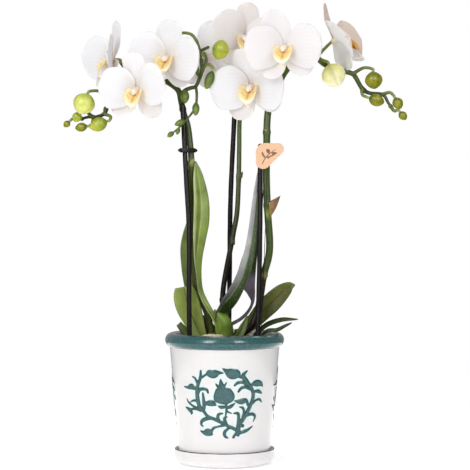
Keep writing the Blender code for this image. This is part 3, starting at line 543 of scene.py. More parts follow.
def saucer():
    """The saucer: a round-cornered dish whose rim is a thin painted roll."""
    sole = line([(0.5, 0.3), (12.0, 0.0), (35.0, 0.0)], 3)[:-1]
    foot = np.concatenate([sole, arc((36.4, 10.0), 10.0, -90, -3, 14) * (1, 0.9)])
    side = line([(46.4, 9.4), (46.4, 12.6)], 3)
    rim = arc((45.1, 13.2), 1.3, 0, 180, 11)
    lip_inside, floor = line([(43.8, 12.0), (43.7, 9.4)], 2), line([(30, 3.6), (0.5, 3.6)], 3)
    profile = np.concatenate([foot, side, rim, lip_inside, arc((38.4, 9.0), 5.4, 0, -90, 8), floor])
    first = len(foot) + len(side)
    return turned(profile, 180, depth=band_depth(profile, first + 1, first + 4), wash=0.0)


def inner_pot():
    """The thin nursery pot, with a small rolled edge."""
    profile = np.concatenate([
        line([(0.5, 9.4), (33.0, 9.4), (43.0, 112.6)], 6), arc((43.2, 114.3), 0.7, -60, 200, 8),
        line([(42.1, 112.0), (32.0, 10.6), (0.5, 10.6)], 6)])
    return turned(profile, 120)


CHIPS = 420
CHIP_STEPS = (-1, 0, 1)
SMALLEST_CHIP, LARGEST_CHIP = (3.2, 2.0, 0.9), (7.0, 4.2, 2.0)
CHIP_COLOURS = ((0, "#2B1A12"), (0.45, "#4A2F1E"), (0.8, "#6B4A30"), (1, "#9A7A55"))
CHIP_ROUGHNESS, CHIP_TILT, CHIP_ROLL = 0.2, 0.4, 0.35
BED_RADIUS = 37.5
# How high the chips lie at the bed's edge, how much and how widely they rise towards the
# crown, and how far each may lie below or above that
CHIP_LEVEL, MOUND_RISE, MOUND_RADIUS = 109.2, 6.2, 22
CHIP_LIFT = (-1.0, 1.6)


def bark():
    """Pine bark: a dark bed, mounded towards the crown, under loose chips. A chip is the skin
    of a 3 by 3 by 3 block of points, its corners drawn in and roughened."""
    rng = np.random.default_rng(7)
    sides = line([(0.5, 10.9), (31.4, 10.9), (41.2, 108.0)], 8)
    mound = line([(40.0, 108.6), (26.0, 110.5), (14.0, 113.5), (0.5, 115.0)], 4)
    bed = turned(np.concatenate([sides, mound]), 90, tone=plain("#2A1B14"))
    block = np.array([(x, y, z) for x in CHIP_STEPS for y in CHIP_STEPS for z in CHIP_STEPS], float)
    skin = np.abs(block).max(1) > 0
    number = np.cumsum(skin) - 1
    faces = []
    for axis in range(3):
        for end in (-1, 1):
            grid = np.flatnonzero(block[:, axis] == end).reshape(3, 3)
            faces.append(quads(number[grid])[:, :: (end if axis == 1 else -end)])
    faces = np.concatenate(faces)
    chip = block[skin] * (1 - 0.1 * (np.abs(block[skin]).sum(1, keepdims=True) - 1))
    size = rng.uniform(SMALLEST_CHIP, LARGEST_CHIP, (CHIPS, 3))
    rough = chip[None] + rng.uniform(-CHIP_ROUGHNESS, CHIP_ROUGHNESS, (CHIPS, *chip.shape))
    yaw = rng.uniform(0, 2 * np.pi, CHIPS)
    tilt, roll = rng.normal(0, CHIP_TILT, CHIPS), rng.normal(0, CHIP_ROLL, CHIPS)
    turn = np.einsum("ijn,jkn,kln->nil", turning(2, yaw), turning(1, tilt), turning(0, roll))
    away, round_z = BED_RADIUS * np.sqrt(rng.uniform(0, 1, CHIPS)), rng.uniform(0, 2 * np.pi, CHIPS)
    height = CHIP_LEVEL + MOUND_RISE * np.exp(-((away / MOUND_RADIUS) ** 2)) + rng.uniform(*CHIP_LIFT, CHIPS)
    centre = np.stack([away * np.cos(round_z), away * np.sin(round_z), height], -1)
    points = np.einsum("nij,npj->npi", turn, rough * size[:, None, :]) + centre[:, None, :]
    shade = shades(CHIP_COLOURS, rng.uniform(0, 1, CHIPS))
    every = (faces[None] + (np.arange(CHIPS) * len(chip))[:, None, None]).reshape(-1, 4)
    return joined(bed, shape(points.reshape(-1, 3), every, tone=np.repeat(shade, len(chip), 0)))


ROOT_COLOURS = ((0, "#B9B08C"), (0.6, "#CFC4A2"), (0.85, "#A9B27E"), (1, "#8D7F5C"))
# Roots over the bark, as (x, y, z, radius)
ROOTS = (
    ((-4, -6, 113, 2.4), (-9, -13, 117.6, 2.5), (-15, -18, 118.2, 2.4), (-22, -22, 116.5, 2.2),
     (-28, -27, 112, 1.6)),
    ((-2, -8, 112, 2.6), (-3, -16, 117, 2.6), (-7, -24, 118.4, 2.4), (-13, -31, 116.0, 2.2),
     (-17, -36, 111, 1.6)),
    ((3, -8, 111, 2.2), (9, -14, 114.2, 2.4), (18, -18, 113.4, 2.2), (27, -23, 111.2, 2.0),
     (33, -25, 108.5, 1.4)),
    ((4, 5, 113, 2.4), (14, 12, 117.4, 2.4), (24, 15, 116.6, 2.2), (33, 17, 111.5, 1.5)),
    ((-8, 3, 113, 2.3), (-18, 4, 117.0, 2.4), (-28, 2, 117.5, 2.2), (-37, 1, 111.6, 1.5)),
)


def roots():
    """Thick pale roots that leave the crown and dip into the bark, greener near their tips.
    Their thickness wavers as a sine."""
    made = []
    for stations in ROOTS:
        row = smooth_rows(stations, 6)
        wobble = 1 + 0.06 * np.sin(np.arange(len(row)) * 1.9)
        made.append(rounded_tube(row[:, :3], row[:, 3] * wobble, 14, tone=lengthwise(ROOT_COLOURS, len(row))))
    return joined(*made)


# ---- Crown and leaves ----

# The crown, as (x, y, z, radius)
CROWN = (
    (-1.5, -1, 92, 7.2), (-1.5, -1, 104, 8.2), (-1, -1.5, 112, 8.6), (-0.6, -2, 120, 8.7),
    (-0.6, -3, 126.5, 8.3), (-2.2, -4.5, 131, 7.4), (-5, -6.5, 135, 5.4), (-7.6, -8.5, 139, 2.9),
    (-8.9, -9.5, 142, 1.0),
)
CROWN_COLOURS = ((0, "#5A6A2C"), (0.55, "#5C7626"), (0.72, "#6F8F2C"), (0.9, "#7F9C36"), (1, "#6C8434"))


def crown():
    """The short fat stem that the leaves and stems grow from."""
    row = smooth_rows(CROWN, 5)
    return rounded_tube(row[:, :3], row[:, 3], 36, tone=lengthwise(CROWN_COLOURS, len(row)), across=0.0)


LEAF_COLUMNS = 21
LEAF_THICKNESS = 1.4
FOLD_ROUNDING = 0.006

# name: the fold of each half in degrees, the midrib as (x, y, z, half width, turn), the
# colours across the upper side from its left edge (-1) to its right (1), the underside's
# colour, and the colour of the sheath at the foot. At turn 0 the upper side faces the front,
# and a positive turn faces it to the right
LEAVES = {
    "tall_left": (28, (
        (-3.5, -9, 121, 5.2, 10), (-6.5, -10.5, 129, 4.2, 20), (-10.5, -12, 136, 3.2, 30),
        (-14.8, -13, 143, 3.6, 40), (-20.2, -13.5, 152, 4.2, 50), (-24, -14, 161.5, 4.8, 60),
        (-26, -14, 176, 5.8, 62), (-26.2, -14, 192, 6.8, 50), (-24.3, -14, 209, 7.8, 30),
        (-22, -14, 226, 8.6, 14), (-21.8, -13, 245, 7.8, 8), (-24.3, -12, 266, 5, 0),
        (-26.5, -11, 279, 0.6, 0)),
        ((-1, "#B4BA8C"), (-0.7, "#9AA566"), (-0.5, "#6A7B38"), (-0.05, "#76893F"), (0.05, "#A3B068"),
         (0.2, "#7C8F44"), (1, "#6A7E38")),
        "#2C3A1C", "#7F9A38"),
    "back_left": (18, (
        (-9, 14, 113, 3, 0), (-19, 15, 119, 3.6, 0), (-26, 17, 130, 4, 0), (-29.5, 19, 146, 5, 0),
        (-31.5, 20, 163, 6.5, 0), (-33.5, 19, 180, 7, -10), (-34.5, 18, 198, 7, -10),
        (-34.5, 17, 212, 4.5, -10), (-34.5, 17, 224, 0.6, -10)),
        ((-1, "#5D6C38"), (0, "#75834A"), (1, "#66753C")), "#56633A", "#6A7744"),
    "broad_left": (14, (
        (-20, -2, 114, 5, 10), (-24, -3, 122, 7, 5), (-29, -4, 134, 10, 0), (-33.5, -5, 146, 11.8, -5),
        (-36, -5, 156, 11.3, -5), (-37.5, -5, 163.5, 8.5, -5)),
        # The dark colour at the midrib is painted shade in the leaf's fold
        ((-1, "#8C9A4C"), (-0.1, "#7C8A42"), (0, "#4A5526"), (0.1, "#7C8A42"), (1, "#94A252")),
        "#6A783E", "#6A7836"),
    "small_left": (20, (
        (-27, 8, 112.5, 3, -20), (-32, 10, 117.5, 4, -20), (-37, 11, 122, 4.4, -20),
        (-42.5, 12, 128.5, 3.2, -20)),
        ((-1, "#4A5828"), (0, "#5C6A38"), (1, "#4A5828")), "#4A5630", "#4B5A2A"),
    "dark_left": (20, (
        (-8, 11.5, 114, 4.5, 0), (-12, 12.5, 121, 5.5, 0), (-16, 13, 128, 4.5, 0), (-20, 13.5, 136, 0.7, 0)),
        ((-1, "#4A3A45"), (0, "#5A4A57"), (1, "#4A3A45")), "#43323E", "#3A2A33"),
    "tall_right": (26, (
        (-1, -3.5, 122, 7, 20), (-4.2, -3.5, 131, 9.5, 40), (-6.2, -4, 139, 11.5, 56),
        (-2.8, -4.5, 146, 11.5, 56), (5.8, -5.5, 155.6, 8.6, 30), (12.7, -6.5, 165.8, 6.9, 10),
        (17.4, -7.5, 175, 6.6, -2), (20.6, -8.2, 186, 6.3, -2), (23.3, -8.3, 197, 5.6, 4),
        (26, -8.2, 214, 5.2, 8), (28, -8, 231, 4.6, 4), (30, -7.5, 252, 3.4, 0), (32, -7, 277, 0.5, 0)),
        # Painted light: the greys of the left half stand for the studio light's reflection, and the right
        # half's dark green is the leaf's own green partly darkened as painted shade
        ((-1, "#62625F"), (-0.5, "#4C4E4A"), (-0.08, "#545850"), (-0.03, "#8E9A76"), (0.03, "#8E9A76"),
         (0.1, "#33491F"), (0.7, "#2A3B18"), (0.93, "#2A3B18"), (1, "#7C8C5C")),
        "#2E3A20", "#5A7626"),
    "back_right": (35, (
        (0, 9, 123, 2.8, -40), (8, 11, 127.6, 3, -60), (16, 13, 132.2, 3.2, -70),
        (22.6, 15, 139, 3.4, -85), (26.8, 16, 148, 3.6, -100), (27.6, 16, 156, 8, -116),
        (27.4, 16, 164, 13, -122), (28, 16, 175, 12, -122), (30.5, 15, 205, 6.5, -112),
        (32, 14, 236, 0.6, -110)),
        ((-1, "#57555A"), (0, "#6C6472"), (1, "#57555A")), "#6C6270", "#34451E"),
    "broad_right": (14, (
        (10.5, 8, 118.5, 4, 0), (19, 9, 123, 5, 0), (28, 8.5, 132, 7.5, 0), (36, 7, 141, 9, 0),
        (44, 5, 149, 9.4, 0), (53, 2, 158, 8, 0), (60, -1, 163.5, 5, 0), (65, -3, 165, 0.7, 0)),
        ((-1, "#56622C"), (-0.1, "#5C5A2A"), (0, "#3A3F1E"), (0.1, "#55542A"), (1, "#4E5A2C")),
        "#4E4E2A", "#3A4A1E"),
    "low_right": (24, (
        (26, 12, 113.5, 3, -60), (32, 12, 120, 3.8, -60), (41, 9, 127, 4.2, -60),
        (53, 3, 131.5, 3.8, -60), (68, -4, 133.3, 0.5, -60)),
        ((-1, "#2A3A1C"), (0, "#45562E"), (1, "#2A3A1C")), "#303F22", "#2A3A1C"),
    "low_front": (24, (
        (33, 2, 117, 1.5, -50), (40, 0, 122, 2.6, -50), (48, -2, 122.6, 2.8, -50), (56, -5, 127, 2, -50),
        (62, -7, 130.5, 0.5, -50)),
        ((-1, "#30401E"), (0, "#45562E"), (1, "#30401E")), "#303F22", "#30401E"),
    "front_right": (24, (
        (10, -10, 113.5, 3.4, 10), (13, -11, 119, 4.2, 10), (17, -11, 127, 3.8, 10), (21, -10, 137, 0.6, 10)),
        ((-1, "#5D6E32"), (0, "#46562A"), (1, "#5D6E32")), "#46562A", "#6A7840"),
}

# Painted sheen: the pale grey laid on the left half of a leaf for the studio light's reflection, stronger
# towards its tip
PAINTED_SHEEN = {"tall_right": "#AEAEB0"}
# The dark green of a leaf's upper part, where the foot is paler
DARK_TOPS = {"back_right": "#25321A"}


def leaf(name):
    """A folded blade: across it each half rises by the fold angle, softly at the midrib, and
    its margins ripple a little."""
    fold, stations, across_colours, under, sheath = LEAVES[name]
    lean = math.radians(fold)
    row = smooth_rows(stations, 8 if len(stations) > 7 else 12)
    route, half, turn = row[:, :3], row[:, 3], np.radians(row[:, 4])[:, None]
    ahead = unit(np.gradient(route, axis=0))
    face = unit(np.array([0.0, -1.0, 0.0]) + ahead * ahead[:, 1:2])
    face = face * np.cos(turn) + np.cross(ahead, face) * np.sin(turn)
    across = np.cross(ahead, face)
    s, t = np.linspace(-1, 1, LEAF_COLUMNS), np.linspace(0, 1, len(row))[:, None]
    rise = np.sqrt(s * s + FOLD_ROUNDING) - math.sqrt(FOLD_ROUNDING)
    ripple = 0.05 * np.abs(s) ** 3 * np.sin(11 * t + 3 * s) * np.sin(np.pi * t)
    side_way, up_way = (s * math.cos(lean))[None, :, None], (rise * math.sin(lean) + ripple)[..., None]
    middle = route[:, None] + half[:, None, None] * (across[:, None] * side_way + face[:, None] * up_way)
    tone = on_grid(shades(across_colours, s)[None], len(row), LEAF_COLUMNS)
    # Painted sheen: the left half is paled to grey, more towards the tip, for the studio light's reflection
    if name in PAINTED_SHEEN:
        sheen_share = smooth_step(-s, 0.08, 0.2) * (0.05 + 0.95 * smooth_step(t, 0.25, 0.75))
        tone = mixed(tone, PAINTED_SHEEN[name], sheen_share)
    tone = mixed(sheath, tone, smooth_step(t + 0 * s, 0.02, 0.2))
    made = blade(middle, LEAF_THICKNESS, tone=tone, across=s[None])
    made["tone"] = mixed(under, made["tone"], made["side"])
    if name in DARK_TOPS:
        made["tone"] = mixed(made["tone"], DARK_TOPS[name], smooth_step(made["points"][:, 2], 168, 178))
    return made


# ---- Flowers ----

# A flower's heart, the way it faces (turned to the right, then tipped up), its size, the
# directions of its tepals clockwise from straight up, and how far they lean forwards: the
# petals at claw and tip, then the dorsal and the lateral sepals. All angles are degrees.
Flower = namedtuple("Flower", "heart turn tip size dorsal petals laterals petal_lean sepal_lean lip_width")
FLOWERS = {
    1: Flower((-104.5, 22, 374.5), -65, 4, 1.06, 0, (-84, 84), (-141, 141), (26, 38), (0, 14), 0.7),
    2: Flower((-79.5, -24, 344), -23, -5, 1.03, -4, (-83, 76), (-129, 138), (28, 12), (6, 6), 1.0),
    3: Flower((-53, -2, 374.5), -18, 2, 1.05, 5, (-79, 97), (-140, 142), (26, 10), (5, 5), 1.0),
    4: Flower((-18.5, 30, 378), 168, 0, 1.00, -14, (-118, 112), (-171, 142), (16, 6), (5, 5), 1.0),
    5: Flower((18, 14, 394), 8, 2, 0.97, 9, (-64, 88), (-140, 141), (26, 10), (5, 5), 1.0),
    6: Flower((54.5, -42, 381.5), -13, 0, 1.06, -24, (-91, 88), (-145, 134), (24, 8), (5, 4), 1.0),
    7: Flower((24.5, -8, 347.5), -20, -3, 1.08, -21, (-94, 93), (-152, 124), (28, 12), (5, 5), 1.0),
    8: Flower((101.5, 0, 390.5), 76, 20, 1.05, 0, (-100, 98), (-167, 165), (24, 28), (6, 18), 0.9),
}
CLAW_START = 1.0  # how far from the flower's middle a tepal starts, inside the boss
WIDEST = 0.55  # how far along a tepal it is widest
PETAL_THICKNESS = 0.34
BOW = 0.1  # how far a tepal bows back, as a share of its half width

# Length, half width, how soon it widens, rows and columns of each kind of tepal
Tepal = namedtuple("Tepal", "length half_width fullness rows columns")
DORSAL = Tepal(34.0, 11.8, 0.62, 26, 25)
LATERAL = Tepal(31.0, 11.0, 0.65, 26, 25)
PETAL = Tepal(35.0, 19.0, 0.45, 30, 35)


def in_place(flower, surface):
    """Moves a surface from a flower's own frame, +Z out of its face and +Y to its top."""
    facing = turning(2, math.radians(flower.turn)) @ turning(0, math.radians(90 - flower.tip))
    surface["points"] = surface["points"] * flower.size @ facing.T + np.array(flower.heart)
    return surface


def tepal(direction, kind, leans, level, phase, tints, face_shade=None, bow_share=BOW, twist=0.0):
    """A petal or sepal. Its midline is an arc that leans from leans[0] to leans[1]; its half
    width rises as a sine from the claw and closes in a round end; it bows back towards its
    edges, has a shallow furrow along the middle, and its margin ripples and wavers. A twist
    lifts one edge and lowers the other. Rows and columns crowd towards its margin."""
    turn = math.radians(direction)
    outward = np.array([math.sin(turn), math.cos(turn), 0])
    sideways = np.array([math.cos(turn), -math.sin(turn), 0])
    t = np.sin(np.pi / 2 * np.linspace(0, 1, kind.rows))
    s = np.sin(np.pi / 2 * np.linspace(-1, 1, kind.columns))
    widen = np.sin(np.pi / 2 * np.minimum(1, t / WIDEST)) ** kind.fullness
    close = np.sqrt(np.maximum(0, 1 - np.maximum(0, (t - WIDEST) / (1 - WIDEST)) ** 2.4))
    width = np.maximum(kind.half_width * np.maximum(0.01, widen * close), 1.6 * (1 - t) ** 3)
    lean = np.radians(leans[0] + (leans[1] - leans[0]) * t)
    step = np.diff(t) * (kind.length - CLAW_START)
    middle_lean = (lean[1:] + lean[:-1]) / 2
    out = CLAW_START + np.concatenate([[0], np.cumsum(step * np.cos(middle_lean))])
    rise = level + np.concatenate([[0], np.cumsum(step * np.sin(middle_lean))])
    t, width, s = t[:, None], width[:, None], s[None, :]
    width = width * (1 + 0.035 * np.sin(8 * t + 1.7 * phase + 2.2 * s) * np.abs(s))
    furrow = 0.5 * np.exp(-((s / 0.14) ** 2)) * (1 - t)
    bow = -bow_share * kind.half_width * s * s * np.minimum(1, 2 * t) - furrow
    ripple = 0.05 * kind.half_width * np.abs(s) ** 3 * np.sin(9 * t + 2 * s + phase) * np.sin(np.pi * t)
    height = (rise[:, None] + bow + ripple + twist * s * width)[..., None]
    middle = outward * out[:, None, None] + sideways * (s * width)[..., None] + np.array([0, 0, 1.0]) * height
    claw, flesh, rim = tints
    # The claw's beige, fading out along the tepal, is partly painted shade near the lip
    tone = mixed(claw, flesh, smooth_step(t + 0.1 * np.abs(s), 0.0, 0.55))
    tone = mixed(tone, rim, 0.6 * smooth_step(np.abs(s) + 0 * t, 0.55, 1.0))
    made = blade(middle, PETAL_THICKNESS, tone=tone, across=s * (0.35 + width / kind.half_width) + 0 * t)
    # Painted shade: the front side is tinted towards a pinkish beige
    if face_shade:
        made["tone"] = mixed(made["tone"], face_shade, 0.8 * made["side"])
    return made


def hub(level):
    """The small boss that the tepals' claws grow from."""
    route = np.stack([np.zeros(7), np.zeros(7), level + np.linspace(-1.3, 1.2, 7)], -1)
    return rounded_tube(route, HUB_RADII, 16, tone=plain("#DCD9BE"), side=1.0, across=0.0)


# Colours of a tepal's claw, flesh and margin; the beige towards the claw is partly painted shade near the lip
SEPAL_TINTS = ("#E6DCD0", "#F3EEF0", "#FBF9FC")
LATERAL_TINTS = ("#DFC9BA", "#EEE4E2", "#F8F4F5")
PETAL_TINTS = ("#E6DAD0", "#F5F0F4", "#FDFBFE")
# What is not as usual on a flower. For its left and right petal: their leans, how far they
# bow back towards their edges, and their twists; for its two lateral sepals: leans and
# twists; and the colours of all four
Own = namedtuple("Own", "petal_leans bows petal_twists lateral_leans lateral_twists tints")
OWN = {
    8: Own(((29, 36), (30, 33)), (0.2, 0.06), (-0.2, 0.0), ((14, 18), (30, 40)), (0.75, 0.9),
           ("#F3EAE6", "#FAF6F7", "#FFFDFE")),
}
# Painted shade: the pinkish beige laid over the front faces of some flowers, for the shade that they lie in
PAINTED_FACE_SHADE = {5: "#E6DAD6", 6: "#ECE4E5", 8: "#D9C0B2"}
SEPAL_LEVEL, PETAL_LEVEL, HUB_LEVEL = -1.2, 0.4, -1.4
HUB_RADII = (1.2, 2.0, 2.5, 2.8, 2.8, 2.5, 2.0)


def sepals(number):
    """A flower's dorsal sepal, its two lateral ones and the boss that they grow from."""
    flower, face_shade = FLOWERS[number], PAINTED_FACE_SHADE.get(number)
    dorsal_lean, lateral_lean = flower.sepal_lean
    leans = (dorsal_lean, dorsal_lean + 4)
    made = [tepal(flower.dorsal, DORSAL, leans, SEPAL_LEVEL, number, SEPAL_TINTS, face_shade)]
    leans = (lateral_lean, lateral_lean + 2)
    own = OWN.get(number, Own(None, None, None, (leans, leans), (0, 0), LATERAL_TINTS))
    for way, lean, twist in zip(flower.laterals, own.lateral_leans, own.lateral_twists):
        made.append(tepal(way, LATERAL, lean, SEPAL_LEVEL, way, own.tints, face_shade, twist=twist))
    return in_place(flower, joined(*made, hub(HUB_LEVEL)))


def petals(number):
    """A flower's two petals."""
    flower, face_shade = FLOWERS[number], PAINTED_FACE_SHADE.get(number)
    usual = Own((flower.petal_lean, flower.petal_lean), (BOW, BOW), (0, 0), None, None, PETAL_TINTS)
    own = OWN.get(number, usual)
    made = []
    for way, lean, bow, twist in zip(flower.petals, own.petal_leans, own.bows, own.petal_twists):
        made.append(tepal(way, PETAL, lean, PETAL_LEVEL, 2.0 * number + way, own.tints, face_shade, bow, twist))
    return in_place(flower, joined(*made))


# A lip's size and the colours of its side lobes, inside, streak, tip and flecks
Lip = namedtuple("Lip", "size tints")
USUAL_LIP = Lip(1.0, ("#F8E9B4", "#F2D88C", "#CF9560", "#F9F1E0", "#D9A55E"))
OWN_LIPS = {8: Lip(1.35, ("#E0A02C", "#C9791E", "#A4532C", "#F1DFC0", "#9A4A22"))}
CALLUS = ((0, -3.4, 3.6, 0.9), (0, -4.0, 5.0, 1.5), (0, -4.8, 6.4, 1.0))
COLUMN = ((0, -0.6, 0.6, 3.3), (0, -0.8, 3.2, 3.1), (0, -1.3, 5.6, 2.8), (0, -2.0, 7.4, 2.3))
COLUMN_COLOURS = ((0, "#EAD6C4"), (0.5, "#E3CDBC"), (1, "#F3E8DE"))
CAP = ((0, -1.6, 7.2, 1.2), (0, -2.3, 8.0, 1.9), (0, -3.1, 8.3, 1.3))
TENDRIL = ((0.3, -15.4, 12.1), (1.6, -17.0, 12.2), (3.0, -16.8, 11.0), (3.2, -15.6, 10.2))
# Lip: its middle line as (height, forwards), the half breadth of each row and how far it curls
LIP_ROWS = (
    (-2.4, 2.2, 4.6, 70), (-4.0, 4.2, 9.0, 82), (-5.8, 6.6, 11.4, 85), (-7.8, 9.2, 11.4, 77),
    (-9.6, 10.8, 9.8, 62), (-11.2, 12.0, 8.0, 42), (-12.6, 12.6, 5.8, 22), (-14.0, 12.4, 3.2, 10),
    (-15.0, 12.0, 0.8, 6),
)


def knob(stations, sides, colour):
    """A small rounded tube of one colour through (x, y, z, radius) stations."""
    row = np.array(stations)
    return rounded_tube(row[:, :3], row[:, 3], sides, side=1.0, tone=plain(colour))


def lip(number):
    """The lip, a trough with two raised side lobes and a tongue; the bump of its callus; two
    short tendrils at its tip; and over it the column with its round cap. It is flecked where
    two waves cross and striped by a wave across it."""
    flower, own = FLOWERS[number], OWN_LIPS.get(number, USUAL_LIP)
    row = smooth_rows(LIP_ROWS, 5)
    s, t = np.linspace(-1, 1, 25)[None, :], np.linspace(0, 1, len(row))[:, None]
    height, forwards, breadth = row[:, :1], row[:, 1:2], np.maximum(row[:, 2:3], 0.5)
    curl = np.radians(np.maximum(row[:, 3:], 3))
    radius = breadth / curl
    flare = 0.5 * np.abs(s) ** 4 * np.sin(14 * t)
    sides, heights = flower.lip_width * radius * np.sin(s * curl), height + radius * (1 - np.cos(s * curl))
    middle = np.stack([sides, heights, forwards + flare + 0 * s], -1)
    lobe, inside, streak, tip, fleck = own.tints
    spots = smooth_step(np.sin(31 * s + 5 * t) * np.sin(27 * t - 3 * s), 0.55, 0.8)
    spots = spots * (np.abs(s) > 0.3) * (t < 0.6)
    stripes = smooth_step(np.sin(40 * s + 2 * np.sin(9 * t)), 0.5, 0.95) * (np.abs(s) < 0.7)
    stripes = stripes * smooth_step(0.6 - t, 0, 0.2)
    tone = mixed(inside, lobe, smooth_step(np.abs(s) + 0.5 * t, 0.4, 0.9))
    tone = mixed(tone, fleck, np.maximum(0.45 * spots, 0.6 * stripes))
    tone = mixed(tone, streak, 0.8 * np.exp(-((s / 0.1) ** 2)) * smooth_step(0.7 - t, 0, 0.2))
    tone = mixed(tone, tip, smooth_step(t + 0 * s, 0.62, 0.82))
    column_row = smooth_rows(COLUMN, 5)
    shade = lengthwise(COLUMN_COLOURS, len(column_row))
    column = rounded_tube(column_row[:, :3], column_row[:, 3], 18, side=1.0, tone=shade)
    made = [blade(middle, 1.0, tone=tone), knob(CALLUS, 12, "#C9742E"), column, knob(CAP, 14, "#FBF8F4")]
    for way in (-1, 1):
        route = smooth_rows(TENDRIL, 5) * (way, 1, 1)
        radii = np.linspace(0.45, 0.25, len(route))
        made.append(rounded_tube(route, radii, 8, side=1.0, tone=plain("#F3E9C4")))
    made = joined(*made)
    made["points"] = made["points"] * own.size
    return in_place(flower, made)


# ---- Stems and buds ----

# name: base, tip, radius and the colours of each bud from its base to its tip
PALE = ((0, "#D2D062"), (0.35, "#FCFAB0"), (1, "#FBF8CC"))
SPRING = ((0, "#9CB23A"), (0.45, "#D3DA66"), (1, "#E4E58C"))
LIME = ((0, "#86982F"), (0.5, "#A9B43A"), (1, "#C0C250"))
GREEN = ((0, "#5C681A"), (0.5, "#92911F"), (1, "#7A801E"))
BUDS = {
    "left_1": ((-125.5, -5, 341), (-133, -9, 322.5), 10.2, SPRING),
    "left_2": ((-108.5, 1, 316), (-124.5, -1, 310), 6.6, LIME),
    "left_3": ((-134, 2, 324), (-138.5, 1, 315.5), 4.6, LIME),
    "left_4": ((-127, 3, 311.5), (-138, 2, 309.5), 4.2, GREEN),
    "left_5": ((-143.5, 6, 316), (-148.5, 5, 311), 3.2, GREEN),
    "centre": ((-11, -12, 383), (4, -15, 378.5), 9.2, LIME),
    "right_1": ((95.5, -13.4, 367.5), (104.5, -16.4, 347.5), 11.2, PALE),
    "right_2": ((136.5, -2, 361.5), (138, -4, 345.5), 8.2, GREEN),
    "right_3": ((133, -2, 337.5), (147, -3, 333), 5.8, GREEN),
    "right_4": ((157, 0, 337.5), (162.5, -1, 327.5), 5.0, GREEN),
    "right_5": ((161.5, 0, 324.5), (167.5, 0, 317.5), 3.9, GREEN),
}


def egg(base, tip, radius, colours, rows=22, sides=30):
    """A bud: fattest past its middle and blunt at its tip, with three shallow seams where its
    sepals meet."""
    base, tip = np.array(base, float), np.array(tip, float)
    t = (1 - np.cos(np.pi * np.linspace(0.02, 0.985, rows))) / 2
    width = radius * np.sin(np.pi * t**0.93) ** 0.6
    turn = np.linspace(0, 2 * np.pi, sides, endpoint=False)
    seam = 1 - 0.07 * np.exp(-((np.sin(1.5 * (turn - 0.7)) / 0.25) ** 2))
    # Painted shade: the colour darkens by up to a quarter in the grooves of the seams
    tone = shades(colours, t)[:, None] * (0.75 + 0.25 * smooth_step(seam, 0.93, 1.0))[None, :, None]
    return tube(base + (tip - base) * t[:, None], width[:, None] * seam[None, :], sides, tone=tone)


# name: main route, radius at the foot and at the end, (height, swelling) of its nodes, and
# the colours by height
SPIKES = {
    "left": (
        ((-12, 5.5, 119), (-15, 5, 134), (-20, 4.5, 147), (-26, 3, 161), (-28.6, 1, 190),
         (-31.5, -3, 218), (-31.2, -6, 240), (-30.6, -7, 262), (-30.5, -7.5, 280), (-32, -7, 298),
         (-34, -6, 312), (-37.5, -4, 323), (-40, -1, 334), (-42.5, 3, 344), (-49, 7, 350),
         (-57, 10, 354.5), (-66, 12, 358), (-80, 14, 358), (-94, 14, 353), (-104, 12, 343), (-109, 7, 330),
         (-111.5, 5, 323), (-119, 4, 320), (-126, 5, 320), (-134, 9, 318)),
        3.0, 1.2, ((168, 0.7), (222, 0.7), (277, 0.9), (327, 0.6)),
        ((119, "#4E5A24"), (170, "#3C441C"), (230, "#414E22"), (273, "#465424"), (277, "#8A9450"),
         (281, "#465424"), (335, "#3E481E"), (360, "#4E5424"))),
    "middle": (
        ((-1, 11.5, 119), (-1.5, 14, 134), (-2, 16, 150), (-1, 16, 163), (1.5, 15, 178), (4.8, 13, 195),
         (8.2, 12.5, 213), (11.5, 12.5, 232), (13, 13, 262), (13.5, 14, 290), (14, 14, 318),
         (17, 14, 338), (20, 17, 356), (20, 24, 372)),
        2.5, 1.5, ((150, 0.6), (205, 0.6), (264, 0.9), (322, 0.7)),
        ((119, "#1A1410"), (180, "#1E1812"), (205, "#2C2A14"), (240, "#3E441E"), (262, "#454E22"),
         (265, "#6A5A36"), (268, "#48562A"), (372, "#4E5E2C"))),
    "right": (
        ((11.3, 1.5, 118), (18, 0, 121.5), (26, -1.5, 129), (31, -2.5, 142), (33.5, -3, 158),
         (36, -3.5, 174), (40.6, -4, 191), (41.5, -5, 206), (39.8, -6, 231), (38.5, -7, 262),
         (38.7, -8, 292), (39.3, -7, 318), (42.5, -4, 338), (49.5, -5, 350), (55.5, -7, 361),
         (64, -11, 369.5), (77, -13, 374.5), (84, -12, 374), (92, -7, 368), (104, -2, 363.5),
         (117, -1, 360), (121, 0, 356), (127, 1, 346), (134, 3, 342), (146, 2, 340.5), (151, 1, 333),
         (155, 1, 327)),
        3.4, 1.1, ((174, 0.8), (237, 1.0), (305, 0.7), (345, 0.5)),
        ((118, "#221A18"), (150, "#261E18"), (170, "#2C2618"), (174, "#7A7448"), (178, "#3C4A20"),
         (200, "#3F4F24"), (226, "#3F5226"), (231, "#8C9A4C"), (236, "#475A28"), (300, "#465524"),
        (350, "#485424"), (375, "#56642A"))),
}
SIDE_BRANCH = (
    (-41, -1, 340), (-36, -3, 344.5), (-31, -3.5, 346.5), (-26.5, -4, 348), (-23.5, -5, 354),
    (-20.8, -6, 362), (-21.5, -5, 372), (-22.5, -4, 379.5), (-15, -9, 383.5),
)
RACEME = (
    (-26.5, -5, 348), (-25.5, -9, 340), (-26.5, -13, 329), (-32, -17, 320), (-40, -20, 311), (-48, -22, 304),
)
